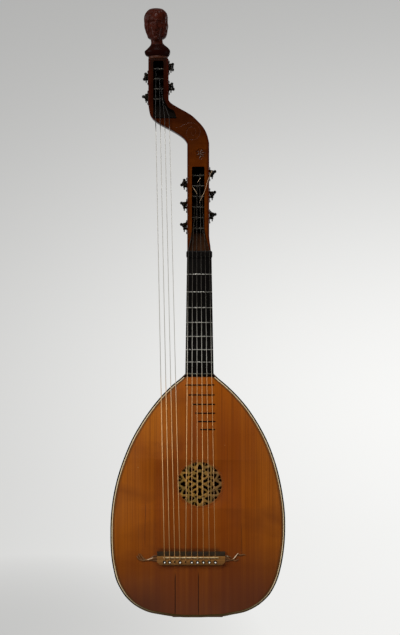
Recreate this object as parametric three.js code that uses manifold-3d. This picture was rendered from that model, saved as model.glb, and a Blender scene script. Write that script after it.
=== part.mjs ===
import * as THREE from "three";
import { mergeVertices } from "three/addons/utils/BufferGeometryUtils.js";
import Module from "manifold-3d";

// A ten-string theorbo lute: six strings over the fingerboard and four free bass strings beside it.
// Millimetres. +Z runs up the neck, -Y points out of the soundboard, +X is the treble side.
// Inside the instrument group y = 0 is the front of the soundboard and z = 0 is the tail.

const wasm = await Module();
wasm.setup();

// Fits
const seam = 0.3; // gap between two pieces that touch
const overrun = 2; // how far a cut runs past a face
const weld = 0.0001; // points closer than this are one
const tailPadInset = 14; // from the front of the soundboard back to the middle of the tail pad

// Body
const bodyLength = 500; // tail to the neck joint
const bodyHalfWidth = 180;
const bowlDepthShare = 0.92; // depth of a section over its half width
const ribThickness = 2.4;
const ribCount = 7;
const ribCells = 2; // flats across one rib
const soundboardThickness = 2.6;
const bindingWidth = 5.4;
const tailCapHeight = 4.6;
const tailCapChamfer = 1.8;
const tailBlockClearance = 6.4; // round the block, inside the outer edge of the cap
const tailBlockHeight = 22;
const barWidth = 6;
const barHeight = 15;
const barEndSlopeShare = 0.6;
const barToRose = 12; // cross bars to the opening of the rose
const barToBridge = 36; // lowest cross bar to the foot of the bridge
const roseBarWidth = 5;
const roseBarHeight = 8;
const barEndClearance = 3;

// Height up the body, then the left and the right half width, from the tail to just below the neck joint.
const bodyOutlineShares = [
  [0.0044, 0.311, 0.28],
  [0.011, 0.43, 0.372],
  [0.0234, 0.59, 0.53],
  [0.048, 0.724, 0.666],
  [0.0726, 0.806, 0.75],
  [0.0972, 0.863, 0.811],
  [0.1464, 0.938, 0.884],
  [0.1956, 0.975, 0.927],
  [0.2448, 0.998, 0.955],
  [0.3062, 1.01, 0.976],
  [0.3678, 1.011, 0.983],
  [0.4292, 1.002, 0.979],
  [0.4908, 0.981, 0.96],
  [0.5522, 0.946, 0.93],
  [0.6138, 0.896, 0.889],
  [0.6752, 0.833, 0.834],
  [0.7368, 0.756, 0.762],
  [0.7983, 0.658, 0.669],
  [0.8598, 0.541, 0.555],
  [0.9126, 0.419, 0.43],
  [0.955, 0.3, 0.308],
  [0.982, 0.208, 0.219],
];
// The nearly flat stretch across the tail: sideways, then up.
const tailEdgeShares = [
  [-0.159, 0.0002],
  [0.011, 0.0002],
  [0.182, 0.0027],
];

// Rose
const roseHeight = 273.5; // its centre above the tail
const roseSide = 1.6; // its centre to the right of the centre line
const roseRadius = 49;
const roseThickness = 2.2;
const roseEdgeSteps = 36;
const openingPeakShare = 0.3; // where an opening is widest, back from its middle
const openingEndShare = 0.7; // width of its outer end
// Rings of openings: how many, how far out, their half length outwards and half width, and how far turned.
const roseOpeningShares = [
  { count: 1, out: 0, long: 0.075, wide: 0.075, turn: 0 },
  { count: 12, out: 0.3, long: 0.12, wide: 0.055, turn: 0 },
  { count: 12, out: 0.76, long: 0.1, wide: 0.085, turn: 0 },
];

// Neck and fingerboard
const neckLength = 252; // neck joint to the foot of the pegbox
const neckLeftAtJoint = 28.2;
const neckRightAtJoint = 30;
const neckLeftAtTop = 24.6;
const neckRightAtTop = 25.6;
const neckDepthAtTop = 21;
const halfRoundSides = 12;
const blockLength = 44; // the part of the neck inside the body
const blockClearance = 1;
const fingerboardThickness = 4.4;
const fingerboardInBody = 6.6; // how far it runs over the body
const fretRule = 643.7; // string length that spaces the frets on the fingerboard
const bodyFretRule = 611.8; // the same for the frets on the body, which lie closer together
const firstFretLift = 2.2; // of the first fret, towards the nut
const fretCount = 14;
const fretWidth = 1.8;
const fretHeight = 1;
const fretShoulderShare = 0.5;
const bodyFretWidth = 2.2;
const bodyFretHeight = 1.1;
const fretToRose = 4; // least distance from a fret to the opening of the rose
const nutLength = 14;
const nutOverhang = 1.4; // past each side of the neck
const nutRise = 2.2; // above the fingerboard
const nutBevel = 3;
// Left and right ends of the frets on the body, in shares of the neck width at the joint.
const bodyFretEndShares = [
  [-0.48, 0.54],
  [-0.373, 0.55],
  [-0.227, 0.568],
  [-0.144, 0.568],
  [-0.037, 0.579],
  [0.039, 0.568],
];

// Bridge
const saddleHeight = 124; // the saddle's centre line above the tail
const bridgeLeft = 86;
const bridgeRight = 53.5;
const bridgeAboveSaddle = 11.7; // towards the neck
const bridgeBelowSaddle = 17;
const bridgeRise = 7;
const bridgeEdgeRise = 2.4;
const bridgeSlope = 8.6;
const bridgeCorner = 8;
const saddleWidth = 2.4;
const saddleRise = 2; // above the bridge
const saddleSeat = 3.4; // into the bridge
const saddleLeft = 72.4;
const saddleRight = 39.8;
const pinRow = 9; // from the saddle down to the pins
const pinRadius = 3;
const pinRise = 3;
const pinTaperShare = 0.6;
const pinSides = 8;
const armRise = 2.4; // thickness of the carved arms
// Outlines of the carved arms, out from the end of the bridge and up from its bottom edge.
const armLength = 43;
const armReach = 28;
const armShares = [
  [-0.08, 0.3],
  [0.18, 0.36],
  [0.4, 0.46],
  [0.6, 0.5],
  [0.72, 0.42],
  [0.86, 0.36],
  [0.97, 0.44],
  [0.99, 0.62],
  [0.9, 0.76],
  [0.94, 0.9],
  [0.84, 1.0],
  [0.74, 0.92],
  [0.7, 0.8],
  [0.56, 0.74],
  [0.4, 0.62],
  [0.24, 0.62],
  [0.12, 0.74],
  [-0.08, 0.78],
];

// Neck extension with its two pegboxes
const extensionDepth = 24;
const extensionBevel = 1.6;
const lowerLeft = 24.2; // outer face of the left cheek, left of the centre line
const lowerRight = 20.9;
const lowerChannelLeft = 14.8;
const lowerChannelRight = 11.3;
const lowerFlare = 3.4; // how much wider the foot of the pegbox is on the right
const lowerFlareLength = 30;
const lowerFootFlare = 7.4; // how much each channel wall opens towards the nut
const lowerMouthLength = 45;
const channelDepth = 19;
const lowerChannelTop = 173; // above the foot of the pegbox
const lowerRampTop = 46;
const lowerRampDepth = 3.6;
const upperShift = 83.4; // centre of the upper pegbox, left of the centre line
const upperHalfWidth = 20.7;
const upperChannelHalfWidth = 10.7;
const extensionLength = 394.4; // foot of the lower pegbox to the top of the upper one
const upperTopWall = 4;
const bassNutHeight = 273.8; // above the foot of the pegbox
const bassNutWidth = 2.6;
const bassNutRise = 1.6;
const upperMouthDepth = 11;
const upperMouthHeight = 40;
const upperRampHeight = 28;
const upperMouthWidth = 26;
const upperMouthShares = [
  [1, 0],
  [0.82, 0.32],
  [0.42, 0.46],
  [0.2, 0.68],
  [0, 1],
];
const leftBendFoot = 221;
const leftBendTop = 301;
const rightBendFoot = 221;
const rightBendTop = 311;
// The bend of each side: sideways from the lower to the upper pegbox, and up from its foot.
const leftBendShares = [
  [0, 0],
  [0.012, 0.03],
  [0.056, 0.102],
  [0.134, 0.18],
  [0.262, 0.256],
  [0.39, 0.334],
  [0.544, 0.41],
  [0.698, 0.487],
  [0.801, 0.556],
  [0.904, 0.641],
  [0.955, 0.718],
  [0.98, 0.82],
  [1, 1],
];
const rightBendShares = [
  [0, 0],
  [0.019, 0.092],
  [0.038, 0.16],
  [0.064, 0.229],
  [0.097, 0.297],
  [0.144, 0.366],
  [0.199, 0.433],
  [0.275, 0.502],
  [0.348, 0.57],
  [0.422, 0.639],
  [0.544, 0.707],
  [0.691, 0.776],
  [0.815, 0.843],
  [0.937, 0.912],
  [0.974, 0.946],
  [1, 1],
];

// Machine heads
const postDepth = 12; // post axis behind the front of the pegbox
const lowerPostFirst = 46.2; // lowest post above the foot of the pegbox
const lowerPostSpacing = 21.8;
const upperPostFirst = 312.4;
const upperPostSpacing = 20.7;
const gearTeeth = 14;
const gearPitchRadius = 6;
const gearWidth = 2.4;
const toothHeight = 0.6; // of a gear tooth and of the thread, past their pitch lines
const toothThickness = 0.92; // at the pitch line
const toothTaper = 0.3; // how much a tooth narrows on each side from root to tip
const meshClearance = 0.32;
const wormPitchRadius = 2.3;
const lowerWormOut = 6.2; // worm axis out from the cheek
const upperWormOut = 4.8;
const wormTurns = 3;
const wormSteps = 8;
const wormShaftRadius = 1.38;
const threadRunout = 0.2;
const threadFadeSteps = 2; // steps over which the thread rises at its ends
const barrelRadius = 3.5;
const barrelSides = 12;
const journalRadius = 2.2;
const journalSides = 8;
const bearingClearance = 0.4;
const barrelSeat = 4; // how far the barrel runs into the far cheek
const plateThickness = 1.2;
const plateBelow = 11; // below the post
const plateAbove = 18; // above the post
const plateHalfWidth = 7.4;
const plateScrewInset = 2.4;
const screwHeadRadius = 2;
const screwHeadHeight = 1;
const screwHeadSides = 6;
const lugThickness = 1.2;
const lugMargin = 2.2; // past the worm axis
const lugHalfHeight = 2.8;
const wormEndOut = 0.8; // shaft end past the front lug
const gearScrewRadius = 2.6;
const gearScrewHeight = 1.4;
const buttonRadius = 9.7;
const buttonWaist = 3;
const buttonLobes = 3;
const buttonLobePoints = 8;
const buttonThickness = 6;
const buttonGap = 2.2; // behind the pegbox
// From the lowest post up: the string it takes, counted from the left, where on the barrel the string
// starts and which way it winds. The shares run across the channel from the left wall.
const lowerWindings = [
  { string: 5, startShare: 0.76, way: -1 },
  { string: 0, startShare: 0.26, way: 1 },
  { string: 1, startShare: 0.22, way: 1 },
  { string: 4, startShare: 0.8, way: -1 },
  { string: 2, startShare: 0.41, way: 1 },
  { string: 3, startShare: 0.62, way: 1 },
];
const upperWindings = [
  { string: 3, startShare: 0.87, way: -1 },
  { string: 2, startShare: 0.776, way: -1 },
  { string: 1, startShare: 0.61, way: -1 },
  { string: 0, startShare: 0.26, way: 1 },
];
// How far each button is turned, in shares of a full turn, from the lowest up.
const lowerButtonTurnShares = [0.131, 0.225, 0.15, 0.165, 0.33, 0.183];
const upperButtonTurnShares = [0.1, 0.04, 0.29, 0.083];

// Strings
const stringSides = 5;
const windingSteps = 10; // per turn
const windingTurns = 2.5;
const windingLead = 0.5; // gap between neighbouring turns
const windingClearance = 0.4; // round the barrel
const nutStringGap = 0.25;
const stringRadii = [0.65, 0.52, 0.42, 0.48, 0.4, 0.34];
const bassRadii = [0.8, 0.76, 0.72, 0.68];
const nutStringFirst = 22.1; // left of the centre line
const nutStringSpacing = 8.72;
const saddleStringFirst = 27.3;
const saddleStringSpacing = 12.06;
const bassNutFirst = 89;
const bassNutSpacing = 9.3;
const bassSaddleFirst = 70.7;
const bassSaddleSpacing = 10.57;
const stringTailShare = 1.6; // loose end past the last turn, in string widths

// Carved head
const headTop = 105.5; // above the upper pegbox
const headShift = 4.6; // left of the upper pegbox
const headHalfWidth = 24;
const headHalfDepth = 29;
const headSides = 16;
// Height, left, right, front and back of each ring of the pedestal, the neck and the head.
const headRingShares = [
  [0, 0.69, 0.93, 0.42, 0.4],
  [0.065, 0.86, 1.02, 0.5, 0.46],
  [0.162, 0.946, 1.1, 0.56, 0.5],
  [0.22, 0.86, 1.02, 0.5, 0.46],
  [0.268, 0.604, 0.675, 0.4, 0.4],
  [0.316, 0.52, 0.55, 0.36, 0.38],
  [0.356, 0.52, 0.54, 0.42, 0.42],
  [0.414, 0.69, 0.675, 0.6, 0.6],
  [0.473, 0.775, 0.846, 0.7, 0.74],
  [0.56, 0.95, 0.93, 0.76, 0.88],
  [0.68, 1.05, 0.93, 0.78, 0.94],
  [0.823, 1.1, 0.93, 0.78, 0.92],
  [0.9, 0.98, 0.83, 0.7, 0.82],
  [0.955, 0.78, 0.64, 0.54, 0.62],
  [1, 0.4, 0.26, 0.26, 0.3],
];

// Solids

function surface(points, faces) {
  const cross = new THREE.Vector3();
  let volume = 0;
  for (const [a, b, c] of faces) {
    volume += points[a].dot(cross.crossVectors(points[b], points[c]));
  }
  const order = faces.map(([a, b, c]) => (volume < 0 ? [a, c, b] : [a, b, c]));
  const geometry = new THREE.BufferGeometry().setFromPoints(points);
  geometry.setIndex(order.flat());
  return geometry;
}

function solidOf(geometry) {
  const bare = geometry.index ? geometry.toNonIndexed() : geometry.clone();
  bare.deleteAttribute("normal");
  bare.deleteAttribute("uv");
  const merged = mergeVertices(bare, weld);
  return new wasm.Manifold(
    new wasm.Mesh({
      numProp: 3,
      vertProperties: new Float32Array(merged.attributes.position.array),
      triVerts: new Uint32Array(merged.index.array),
    }),
  );
}

function geometryOf(solid) {
  const mesh = solid.getMesh();
  const geometry = new THREE.BufferGeometry();
  geometry.setAttribute("position", new THREE.BufferAttribute(new Float32Array(mesh.vertProperties), 3));
  geometry.setIndex(new THREE.BufferAttribute(new Uint32Array(mesh.triVerts), 1));
  return geometry;
}

function joined(geometries) {
  return geometryOf(geometries.map(solidOf).reduce((sum, next) => sum.add(next)));
}

function cut(geometry, tools) {
  return geometryOf(tools.map(solidOf).reduce((rest, tool) => rest.subtract(tool), solidOf(geometry)));
}

function common(a, b) {
  return geometryOf(solidOf(a).intersect(solidOf(b)));
}

// Rings of equal length, joined in order and closed at both ends.
function loft(rings) {
  const count = rings[0].length;
  const points = rings.flat();
  const faces = [];
  for (let r = 0; r + 1 < rings.length; r += 1) {
    for (let i = 0; i < count; i += 1) {
      const a = r * count + i;
      const b = r * count + ((i + 1) % count);
      faces.push([a, b, b + count], [a, b + count, a + count]);
    }
  }
  const last = (rings.length - 1) * count;
  for (let i = 1; i + 1 < count; i += 1) {
    faces.push([0, i + 1, i], [last, last + i, last + i + 1]);
  }
  return surface(points, faces);
}

// A sheet between two grids of points that face each other.
function sheet(outer, inner) {
  const rows = outer.length;
  const columns = outer[0].length;
  const points = [...outer.flat(), ...inner.flat()];
  const offset = rows * columns;
  const faces = [];
  const quad = (a, b, c, d) => faces.push([a, b, c], [a, c, d]);
  for (let r = 0; r + 1 < rows; r += 1) {
    for (let c = 0; c + 1 < columns; c += 1) {
      const a = r * columns + c;
      quad(a, a + 1, a + columns + 1, a + columns);
      quad(a + offset, a + columns + offset, a + columns + 1 + offset, a + 1 + offset);
    }
  }
  const edge = [];
  for (let c = 0; c + 1 < columns; c += 1) edge.push(c);
  for (let r = 0; r + 1 < rows; r += 1) edge.push(r * columns + columns - 1);
  for (let c = columns - 1; c > 0; c -= 1) edge.push((rows - 1) * columns + c);
  for (let r = rows - 1; r > 0; r -= 1) edge.push(r * columns);
  edge.forEach((a, i) => {
    const b = edge[(i + 1) % edge.length];
    quad(b, a, a + offset, b + offset);
  });
  return surface(points, faces);
}

// An outline of [x, z] points, from the plane y = front back to y = back.
function facePrism(outline, front, back, holes = []) {
  const shape = new THREE.Shape(outline.map(([x, z]) => new THREE.Vector2(x, z)));
  for (const hole of holes) {
    shape.holes.push(new THREE.Path(hole.map(([x, z]) => new THREE.Vector2(x, z))));
  }
  const geometry = new THREE.ExtrudeGeometry(shape, { depth: back - front, bevelEnabled: false });
  geometry.rotateX(Math.PI / 2);
  geometry.translate(0, back, 0);
  return geometry;
}

// An outline of [y, z] points, from x = left to x = right.
function sidePrism(outline, left, right) {
  const shape = new THREE.Shape(outline.map(([y, z]) => new THREE.Vector2(y, z)));
  const geometry = new THREE.ExtrudeGeometry(shape, { depth: right - left, bevelEnabled: false });
  const axes = new THREE.Matrix4().makeBasis(
    new THREE.Vector3(0, 1, 0),
    new THREE.Vector3(0, 0, 1),
    new THREE.Vector3(1, 0, 0),
  );
  geometry.applyMatrix4(axes);
  geometry.translate(left, 0, 0);
  return geometry;
}

function box(left, right, front, back, bottom, top) {
  const geometry = new THREE.BoxGeometry(right - left, back - front, top - bottom);
  geometry.translate((left + right) / 2, (front + back) / 2, (bottom + top) / 2);
  return geometry;
}

// A round bar along X or Y.
function barX(radius, left, right, sides) {
  const geometry = new THREE.CylinderGeometry(radius, radius, right - left, sides);
  geometry.rotateZ(Math.PI / 2);
  geometry.translate((left + right) / 2, 0, 0);
  return geometry;
}

function barY(radius, front, back, sides) {
  const geometry = new THREE.CylinderGeometry(radius, radius, back - front, sides);
  geometry.translate(0, (front + back) / 2, 0);
  return geometry;
}

// Outline of the soundboard

const outlineRow = ([up, left, right]) => ({
  z: up * bodyLength,
  left: left * bodyHalfWidth,
  right: right * bodyHalfWidth,
});
const jointRow = { z: bodyLength, left: neckLeftAtJoint, right: neckRightAtJoint };
const bodyRows = [...bodyOutlineShares.map(outlineRow), jointRow];
const tailEdge = tailEdgeShares.map(([across, up]) => [across * bodyHalfWidth, up * bodyLength]);
const bodyTop = bodyLength - fingerboardInBody - seam;

function rowAt(z) {
  const next = Math.max(1, bodyRows.findIndex((row) => row.z >= z));
  const a = bodyRows[next - 1];
  const b = bodyRows[next];
  const t = (z - a.z) / (b.z - a.z);
  return { z, left: a.left + (b.left - a.left) * t, right: a.right + (b.right - a.right) * t };
}

// Open line from the top right shoulder round the tail to the top left one.
const rimRows = [...bodyRows.filter((row) => row.z < bodyTop), rowAt(bodyTop)];
const rimLine = [
  ...rimRows.map((row) => [row.right, row.z]).reverse(),
  ...tailEdge.map(([x, z]) => [x, z]).reverse(),
  ...rimRows.map((row) => [-row.left, row.z]),
];

// The same line moved in, away from the edge, and brought back to its two end heights.
function inset(line, distance) {
  const moved = line.map(([x, z], i) => {
    const [ax, az] = line[Math.max(0, i - 1)];
    const [bx, bz] = line[Math.min(line.length - 1, i + 1)];
    const length = Math.hypot(bx - ax, bz - az);
    return [x - ((az - bz) / length) * distance, z - ((bx - ax) / length) * distance];
  });
  for (const [i, j] of [[0, 1], [line.length - 1, line.length - 2]]) {
    const slope = (moved[j][0] - moved[i][0]) / (moved[j][1] - moved[i][1]);
    moved[i] = [moved[i][0] + (line[i][1] - moved[i][1]) * slope, line[i][1]];
  }
  return moved;
}

const bindingInner = inset(rimLine, bindingWidth);
const boardLine = inset(rimLine, bindingWidth + seam);

// Ribs: sections of the bowl are half ellipses that hang from the plane behind the soundboard.
const rimPlane = soundboardThickness + seam;

function bowlPoint(row, angle, inwards) {
  const at = (r, a) => {
    const half = (r.left + r.right) / 2;
    const middle = (r.right - r.left) / 2;
    const depth = half * bowlDepthShare - rimPlane;
    return new THREE.Vector3(middle + half * Math.cos(a), rimPlane + depth * Math.sin(a), r.z);
  };
  const point = at(bodyRows[row], angle);
  if (!inwards) return point;
  const below = at(bodyRows[Math.max(0, row - 1)], angle);
  const above = at(bodyRows[Math.min(bodyRows.length - 1, row + 1)], angle);
  const small = Math.PI / 360;
  const along = above.sub(below);
  const across = at(bodyRows[row], angle + small).sub(at(bodyRows[row], angle - small));
  const normal = new THREE.Vector3().crossVectors(along, across).normalize();
  const axis = new THREE.Vector3(0, rimPlane, point.z);
  if (normal.dot(new THREE.Vector3().subVectors(point, axis)) > 0) normal.negate();
  if (row === bodyRows.length - 1) {
    normal.z = 0;
    normal.normalize();
  }
  return point.addScaledVector(normal, inwards);
}

function ribGeometry(index) {
  const outer = [];
  const inner = [];
  const start = (Math.PI * index) / ribCount;
  const end = (Math.PI * (index + 1)) / ribCount;
  bodyRows.forEach((row, r) => {
    const half = (row.left + row.right) / 2;
    const gap = Math.asin(seam / 2 / half);
    const a = index === 0 ? 0 : start + gap;
    const b = index === ribCount - 1 ? Math.PI : end - gap;
    const outerRow = [];
    const innerRow = [];
    for (let i = 0; i <= ribCells; i += 1) {
      const angle = a + ((b - a) * i) / ribCells;
      outerRow.push(bowlPoint(r, angle, 0));
      innerRow.push(bowlPoint(r, angle, ribThickness));
    }
    outer.push(outerRow);
    inner.push(innerRow);
  });
  return sheet(outer, inner);
}

// Half of an ellipse that hangs from the plane y = front.
function halfRing(z, left, right, depth, front) {
  const half = (left + right) / 2;
  const middle = (right - left) / 2;
  return Array.from({ length: halfRoundSides + 1 }, (_, i) => {
    const angle = (Math.PI * i) / halfRoundSides;
    return new THREE.Vector3(middle + half * Math.cos(angle), front + (depth - front) * Math.sin(angle), z);
  });
}

// Tail cap: it fills the ring that the rib ends leave, with the flat pad at z = 0.
// The block stands on it inside.
function tailRing(z, inwards) {
  const { left, right } = bodyRows[0];
  const depth = ((left + right) / 2) * bowlDepthShare - inwards;
  return halfRing(z, left - inwards, right - inwards, depth, rimPlane);
}

const capInset = seam * 3;
const tailCap = loft([
  tailRing(0, capInset + tailCapChamfer),
  tailRing(tailCapChamfer, capInset),
  tailRing(tailCapHeight, capInset),
]);
const tailBlock = loft([
  tailRing(tailCapHeight + seam, tailBlockClearance),
  tailRing(tailCapHeight + seam + tailBlockHeight, tailBlockClearance),
]);

// Frets: one rule spaces the metal frets on the fingerboard, and another the wooden ones below it on the body.
const neckTop = bodyLength + neckLength;
const nutFoot = neckTop - nutLength;
const fingerboardFoot = bodyLength - fingerboardInBody;
const fretPlace = (n) => nutFoot - fretRule * (1 - 2 ** (-n / 12));
const fretPlaces = Array.from({ length: fretCount }, (_, i) => fretPlace(i + 1) + (i === 0 ? firstFretLift : 0));
const metalFretPlaces = fretPlaces.filter((z) => z > fingerboardFoot + fretWidth);
const firstBodyFret = metalFretPlaces.length + 1;
const lowestFret = roseHeight + roseRadius + fretToRose;
const bodyFretPlaces = bodyFretEndShares
  .map((_, i) => fretPlace(firstBodyFret) - bodyFretRule * (2 ** (-firstBodyFret / 12) - 2 ** (-(firstBodyFret + i) / 12)))
  .filter((z) => z < bodyTop - bodyFretWidth && z > lowestFret);

function fret(left, right, z, width, height, base) {
  const half = width / 2;
  const outline = [
    [base + overrun / 2, z - half],
    [base - height * fretShoulderShare, z - half],
    [base - height, z - half / 2],
    [base - height, z + half / 2],
    [base - height * fretShoulderShare, z + half],
    [base + overrun / 2, z + half],
  ];
  return sidePrism(outline, left, right);
}

const neckWidthAtJoint = neckLeftAtJoint + neckRightAtJoint;
const bodyFrets = bodyFretPlaces.map((z, i) => {
  const [left, right] = bodyFretEndShares[i];
  return fret(left * neckWidthAtJoint, right * neckWidthAtJoint, z, bodyFretWidth, bodyFretHeight, 0);
});

// Soundboard with the frets that are glued on it, and its rose
function ringPoints(cx, cz, radius, count) {
  return Array.from({ length: count }, (_, i) => {
    const angle = (2 * Math.PI * i) / count;
    return [cx + radius * Math.cos(angle), cz + radius * Math.sin(angle)];
  });
}

const roseHole = ringPoints(roseSide, roseHeight, roseRadius + seam, roseEdgeSteps);
const soundboard = joined([facePrism(boardLine, 0, soundboardThickness, [roseHole]), ...bodyFrets]);
const edgeBinding = facePrism([...rimLine, ...[...bindingInner].reverse()], 0, soundboardThickness);

const roseHoles = [];
for (const { count, out, long, wide, turn } of roseOpeningShares) {
  for (let i = 0; i < count; i += 1) {
    const angle = (2 * Math.PI * (i + turn)) / count;
    const peak = -long * openingPeakShare;
    const end = wide * openingEndShare;
    const corners = [[-long, 0], [peak, wide], [long, end], [long, -end], [peak, -wide]];
    roseHoles.push(
      corners.map(([along, across]) => [
        roseSide + roseRadius * ((out + along) * Math.cos(angle) - across * Math.sin(angle)),
        roseHeight + roseRadius * ((out + along) * Math.sin(angle) + across * Math.cos(angle)),
      ]),
    );
  }
}
const roseEdge = ringPoints(roseSide, roseHeight, roseRadius, roseEdgeSteps);
const rose = facePrism(roseEdge, 0, roseThickness, roseHoles);

// Bars under the soundboard: three across, tied by two beside the rose.
const barFront = soundboardThickness + seam;

function crossBar(z) {
  const row = rowAt(z);
  const inside = ribThickness + barEndClearance;
  const slope = barHeight * barEndSlopeShare;
  const outline = [
    [-row.left + inside, barFront],
    [row.right - inside, barFront],
    [row.right - inside - slope, barFront + barHeight],
    [-row.left + inside + slope, barFront + barHeight],
  ];
  const shape = new THREE.Shape(outline.map(([x, y]) => new THREE.Vector2(x, y)));
  const geometry = new THREE.ExtrudeGeometry(shape, { depth: barWidth, bevelEnabled: false });
  geometry.translate(0, 0, z - barWidth / 2);
  return geometry;
}

const barAboveRose = roseHeight + roseRadius + barToRose;
const barBelowRose = roseHeight - roseRadius - barToRose;
const barBelowBridge = saddleHeight - bridgeBelowSaddle - barToBridge;
const roseBarOut = roseRadius + roseBarWidth;
const roseBars = [-1, 1].map((side) => {
  const x = roseSide + side * roseBarOut;
  return box(
    x - roseBarWidth / 2,
    x + roseBarWidth / 2,
    barFront,
    barFront + roseBarHeight,
    barBelowRose,
    barAboveRose,
  );
});
const bassBar = box(
  roseSide - roseBarOut - roseBarWidth / 2,
  roseSide - roseBarOut + roseBarWidth / 2,
  barFront,
  barFront + roseBarHeight,
  barBelowBridge,
  barBelowRose,
);
const soundboardBars = joined([
  crossBar(barAboveRose),
  crossBar(barBelowRose),
  crossBar(barBelowBridge),
  ...roseBars,
  bassBar,
]);

// Neck: a half-round loft that steps down into the block inside the body.
const neckFront = fingerboardThickness + seam;
const jointDepth = ((neckLeftAtJoint + neckRightAtJoint) / 2) * bowlDepthShare;
const blockInset = ribThickness + blockClearance;
const blockLeft = neckLeftAtJoint - blockInset;
const blockRight = neckRightAtJoint - blockInset;
const blockDepth = jointDepth - blockInset;
const neck = loft([
  halfRing(bodyLength - blockLength, blockLeft, blockRight, blockDepth, rimPlane),
  halfRing(bodyLength + seam, blockLeft, blockRight, blockDepth, rimPlane),
  halfRing(bodyLength + seam, neckLeftAtJoint, neckRightAtJoint, jointDepth, neckFront),
  halfRing(neckTop, neckLeftAtTop, neckRightAtTop, neckDepthAtTop, neckFront),
]);

function neckEdge(z) {
  const t = (z - bodyLength) / neckLength;
  return {
    left: neckLeftAtJoint + (neckLeftAtTop - neckLeftAtJoint) * t,
    right: neckRightAtJoint + (neckRightAtTop - neckRightAtJoint) * t,
  };
}

const fingerboardHead = nutFoot - seam;

function fingerboardPlate(foot, head, thickness) {
  const outline = [
    [-neckEdge(foot).left, foot],
    [neckEdge(foot).right, foot],
    [neckEdge(head).right, head],
    [-neckEdge(head).left, head],
  ];
  return facePrism(outline, 0, thickness);
}

const metalFrets = metalFretPlaces.map((z) => {
  const { left, right } = neckEdge(z);
  return fret(-left, right, z, fretWidth, fretHeight, 0);
});
const fingerboard = joined([
  fingerboardPlate(fingerboardFoot, fingerboardHead, soundboardThickness),
  fingerboardPlate(bodyLength + seam * 2, fingerboardHead, fingerboardThickness),
  ...metalFrets,
]);

const nutEdge = neckEdge(nutFoot);
const nutLeft = nutEdge.left + nutOverhang;
const nutRight = nutEdge.right + nutOverhang;
const nut = facePrism(
  [
    [-nutEdge.left, nutFoot],
    [nutEdge.right, nutFoot],
    [nutRight, nutFoot + nutBevel],
    [nutRight, neckTop - nutBevel],
    [nutEdge.right, neckTop],
    [-nutEdge.left, neckTop],
    [-nutLeft, neckTop - nutBevel],
    [-nutLeft, nutFoot + nutBevel],
  ],
  -nutRise,
  fingerboardThickness,
);

// Bridge
const bridgeFoot = saddleHeight - bridgeBelowSaddle;
const bridgeHead = saddleHeight + bridgeAboveSaddle;
const bridgeSection = [
  [-seam, bridgeFoot],
  [-bridgeEdgeRise, bridgeFoot],
  [-bridgeRise, bridgeFoot + bridgeCorner / 2],
  [-bridgeRise, bridgeHead - bridgeSlope],
  [-bridgeEdgeRise, bridgeHead],
  [-seam, bridgeHead],
];
const bridgeOutline = [
  [-bridgeLeft + bridgeCorner, bridgeFoot],
  [bridgeRight - bridgeCorner, bridgeFoot],
  [bridgeRight, bridgeFoot + bridgeCorner],
  [bridgeRight, bridgeHead],
  [-bridgeLeft, bridgeHead],
  [-bridgeLeft, bridgeFoot + bridgeCorner],
];
const bridgeBody = common(
  sidePrism(bridgeSection, -bridgeLeft - overrun, bridgeRight + overrun),
  facePrism(bridgeOutline, -bridgeRise - overrun, overrun),
);

function arm(side) {
  const start = side < 0 ? -bridgeLeft : bridgeRight;
  const outline = armShares.map(([out, up]) => [start + side * out * armLength, bridgeFoot + up * armReach]);
  return facePrism(outline, -armRise, -seam);
}

const saddleStringX = [
  ...bassRadii.map((_, i) => -bassSaddleFirst + i * bassSaddleSpacing),
  ...stringRadii.map((_, i) => -saddleStringFirst + i * saddleStringSpacing),
];
const pinPlane = -bridgeRise - pinRise;
const pins = saddleStringX.map((x) => {
  const pin = new THREE.CylinderGeometry(pinRadius, pinRadius * pinTaperShare, pinRise + overrun, pinSides);
  pin.rotateX(Math.PI / 2);
  pin.translate(x, (pinPlane - bridgeRise + overrun) / 2, saddleHeight - pinRow);
  return pin;
});
const saddleSlot = box(
  -saddleLeft - seam,
  saddleRight + seam,
  -bridgeRise - overrun,
  -bridgeRise + saddleSeat + seam,
  saddleHeight - saddleWidth / 2 - seam,
  saddleHeight + saddleWidth / 2 + seam,
);
const bridge = cut(joined([bridgeBody, arm(-1), arm(1), ...pins]), [saddleSlot]);
const saddleFront = -bridgeRise - saddleRise;
const saddle = sidePrism(
  [
    [-bridgeRise + saddleSeat, saddleHeight - saddleWidth / 2],
    [-bridgeRise + saddleSeat, saddleHeight + saddleWidth / 2],
    [saddleFront + saddleWidth / 3, saddleHeight + saddleWidth / 2],
    [saddleFront, saddleHeight + saddleWidth / 6],
    [saddleFront, saddleHeight - saddleWidth / 6],
    [saddleFront + saddleWidth / 3, saddleHeight - saddleWidth / 2],
  ],
  -saddleLeft,
  saddleRight,
);

// Neck extension: two pegboxes joined by a bend
const extensionFoot = neckTop + seam;
const extensionTop = neckTop + extensionLength;
const upperLeft = upperShift + upperHalfWidth;
const upperRight = upperShift - upperHalfWidth;

function bend(shares, foot, top, lowerX, upperX) {
  return shares.map(([across, up]) => [
    lowerX + (upperX - lowerX) * across,
    neckTop + foot + (top - foot) * up,
  ]);
}

const extensionOutline = [
  [-lowerLeft, extensionFoot],
  [lowerRight + lowerFlare, extensionFoot],
  [lowerRight, extensionFoot + lowerFlareLength],
  ...bend(rightBendShares, rightBendFoot, rightBendTop, lowerRight, -upperRight),
  [-upperRight, extensionTop],
  [-upperLeft, extensionTop],
  ...bend(leftBendShares, leftBendFoot, leftBendTop, -lowerLeft, -upperLeft).reverse(),
];

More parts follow.
